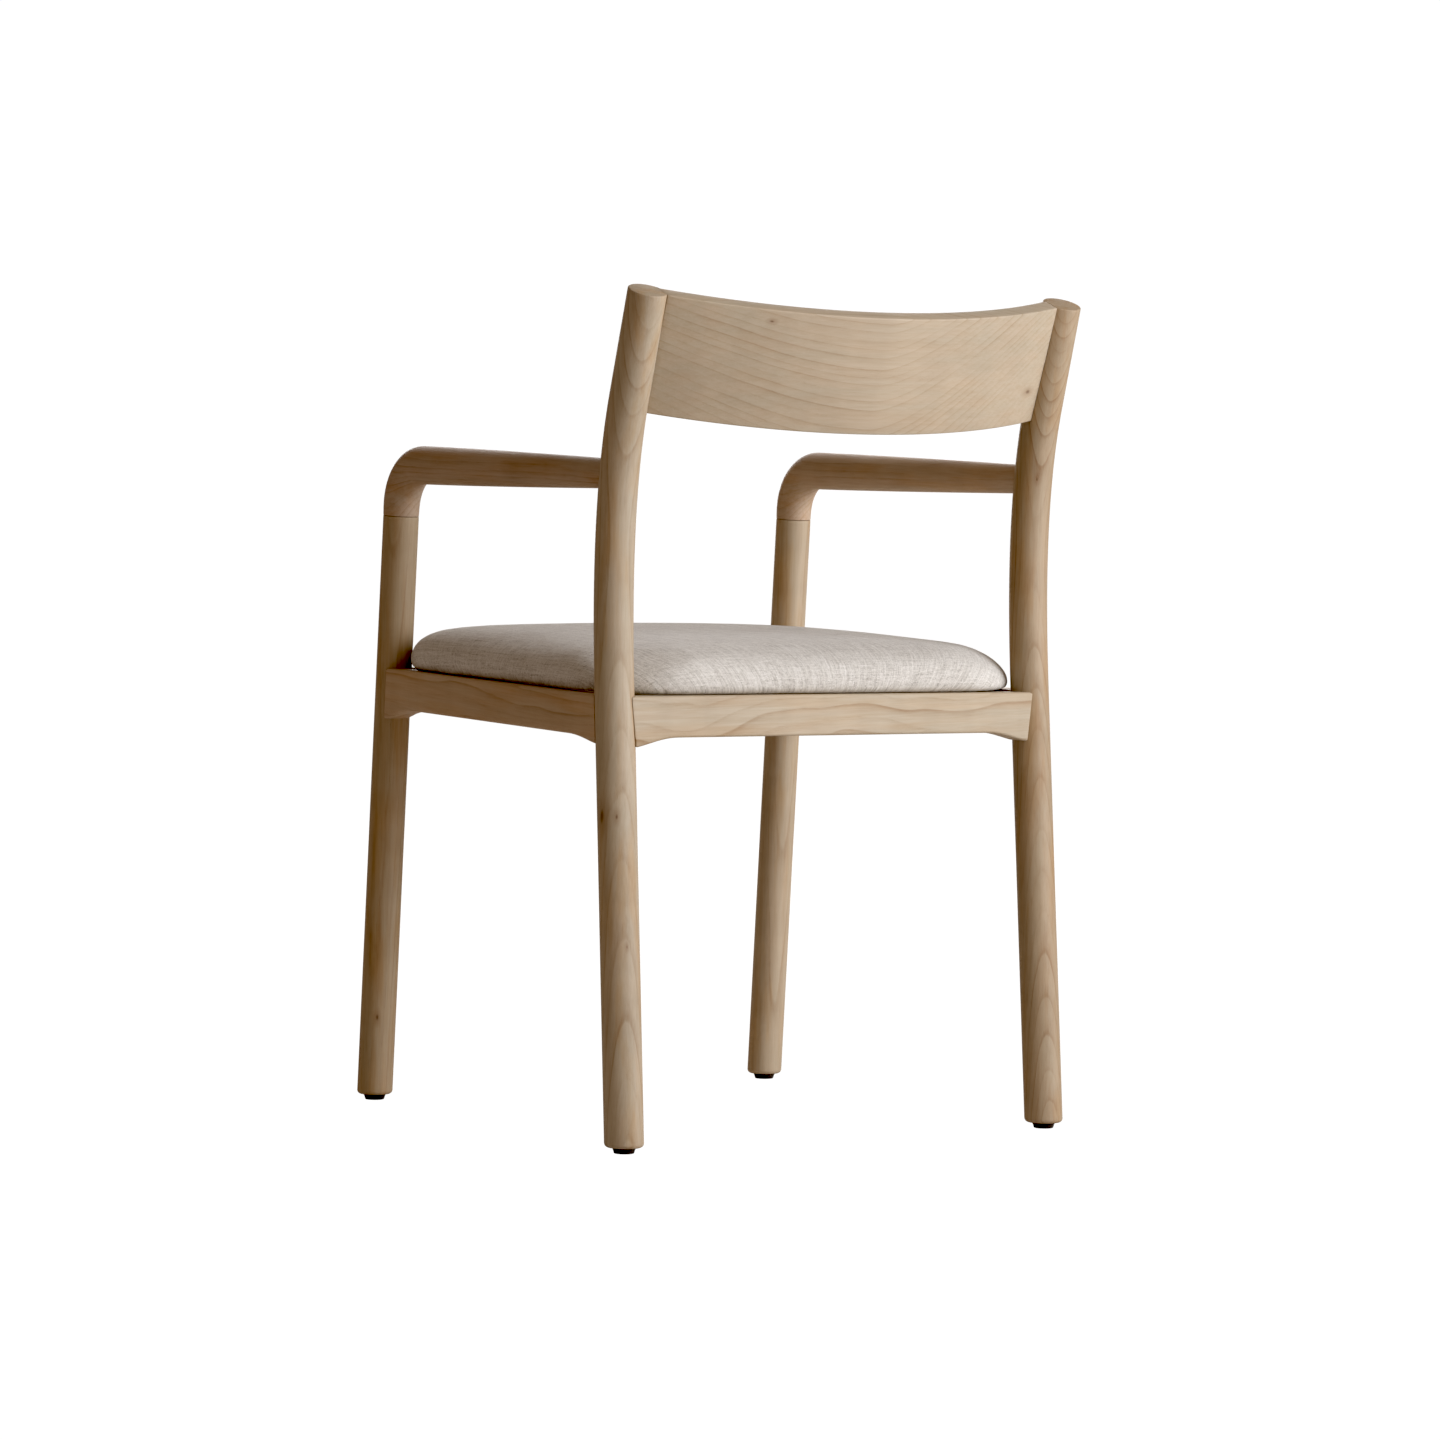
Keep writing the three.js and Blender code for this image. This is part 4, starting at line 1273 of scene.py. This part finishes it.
# The camera: where it stands round the chair and above it, how it tilts, and its lens.
CAMERA_AZIMUTH = math.radians(148.0)
CAMERA_ELEVATION = math.radians(2.332)
CAMERA_ROLL = math.radians(0.775)
CAMERA_DISTANCE = 5.4709
CAMERA_TARGET_Z = 400.0
CAMERA_SENSOR = 36.0
CAMERA_LENS = 139.67
CAMERA_SHIFT = (0.00932, -0.00948)


def stage_floor():
    """A wide pale floor, which the camera sees as nearly plain white."""
    mesh = bpy.data.meshes.new("studio_floor")
    corners = [(x * FLOOR_HALF, y * FLOOR_HALF, 0) for x, y in ((-1, -1), (1, -1), (1, 1), (-1, 1))]
    mesh.from_pydata(corners, [], [(0, 1, 2, 3)])
    floor = add_object("studio_floor", mesh)
    n = Nodes("studio_floor_white")
    n.set("Base Color", FLOOR_COLOUR)
    n.set("Roughness", 1.0)
    n.set("Specular IOR Level", 0.0)
    glow = n.tree.nodes.new("ShaderNodeEmission")
    glow.inputs["Strength"].default_value = FLOOR_GLOW
    mix = n.tree.nodes.new("ShaderNodeMixShader")
    ray = n.tree.nodes.new("ShaderNodeLightPath")
    n.link(n.times(ray.outputs["Is Camera Ray"], FLOOR_GLOW_SHARE), mix.inputs[0])
    n.link(n.shader.outputs[0], mix.inputs[1])
    n.link(glow.outputs[0], mix.inputs[2])
    n.link(mix.outputs[0], n.out.inputs[0])
    paint(floor, n.material)


def area_light(name, place, size, power, colour):
    data = bpy.data.lights.new(name, "AREA")
    data.shape = "RECTANGLE"
    data.size, data.size_y = size
    data.energy = power
    data.color = colour
    light = add_object(name, data)
    light.location = place
    light.visible_camera = False
    light.rotation_mode = "QUATERNION"
    light.rotation_quaternion = (Vector(LAMP_TARGET) - Vector(place)).to_track_quat("-Z", "Y")


def sky():
    """Soft warm light from all round, behind a backdrop that the camera sees as white."""
    world = bpy.data.worlds.new("studio")
    bpy.context.scene.world = world
    world.use_nodes = True
    tree = world.node_tree
    tree.nodes.clear()
    out = tree.nodes.new("ShaderNodeOutputWorld")
    mix = tree.nodes.new("ShaderNodeMixShader")
    soft = tree.nodes.new("ShaderNodeBackground")
    white = tree.nodes.new("ShaderNodeBackground")
    ray = tree.nodes.new("ShaderNodeLightPath")
    soft.inputs[0].default_value = SKY_COLOUR
    soft.inputs[1].default_value = SKY_STRENGTH
    white.inputs[0].default_value = (1.0, 1.0, 1.0, 1.0)
    white.inputs[1].default_value = BACKDROP_STRENGTH
    tree.links.new(ray.outputs["Is Camera Ray"], mix.inputs[0])
    tree.links.new(soft.outputs[0], mix.inputs[1])
    tree.links.new(white.outputs[0], mix.inputs[2])
    tree.links.new(mix.outputs[0], out.inputs[0])


def camera():
    level = math.cos(CAMERA_ELEVATION)
    back = Vector((math.sin(CAMERA_AZIMUTH) * level, -math.cos(CAMERA_AZIMUTH) * level,
                   math.sin(CAMERA_ELEVATION)))
    right = (-back).cross(Z_AXIS).normalized()
    up = right.cross(-back)
    rolled_right = right * math.cos(CAMERA_ROLL) + up * math.sin(CAMERA_ROLL)
    rolled_up = -right * math.sin(CAMERA_ROLL) + up * math.cos(CAMERA_ROLL)
    place = at(0, 0, CAMERA_TARGET_Z) + back * CAMERA_DISTANCE
    data = bpy.data.cameras.new("camera")
    data.sensor_width = CAMERA_SENSOR
    data.lens = CAMERA_LENS
    data.shift_x, data.shift_y = CAMERA_SHIFT
    data.clip_end = 200.0
    made = add_object("camera", data)
    turn = Matrix((rolled_right, rolled_up, back)).transposed().to_4x4()
    made.matrix_world = Matrix.Translation(place) @ turn
    bpy.context.scene.camera = made


stage_floor()
sky()
area_light("key", (-2.07, 3.19, 1.80), (3.2, 3.2), 176.0, (0.985, 1.01, 1.08))
area_light("fill_from_front", (-1.9, -3.75, 1.55), (2.6, 2.0), 80.0, (0.98, 1.0, 1.03))
camera()
colours = bpy.context.scene.view_settings
colours.view_transform = "Standard"
colours.look = "None"
colours.use_curve_mapping = True
colours.curve_mapping.black_level = BLACK_LEVEL
colours.curve_mapping.update()
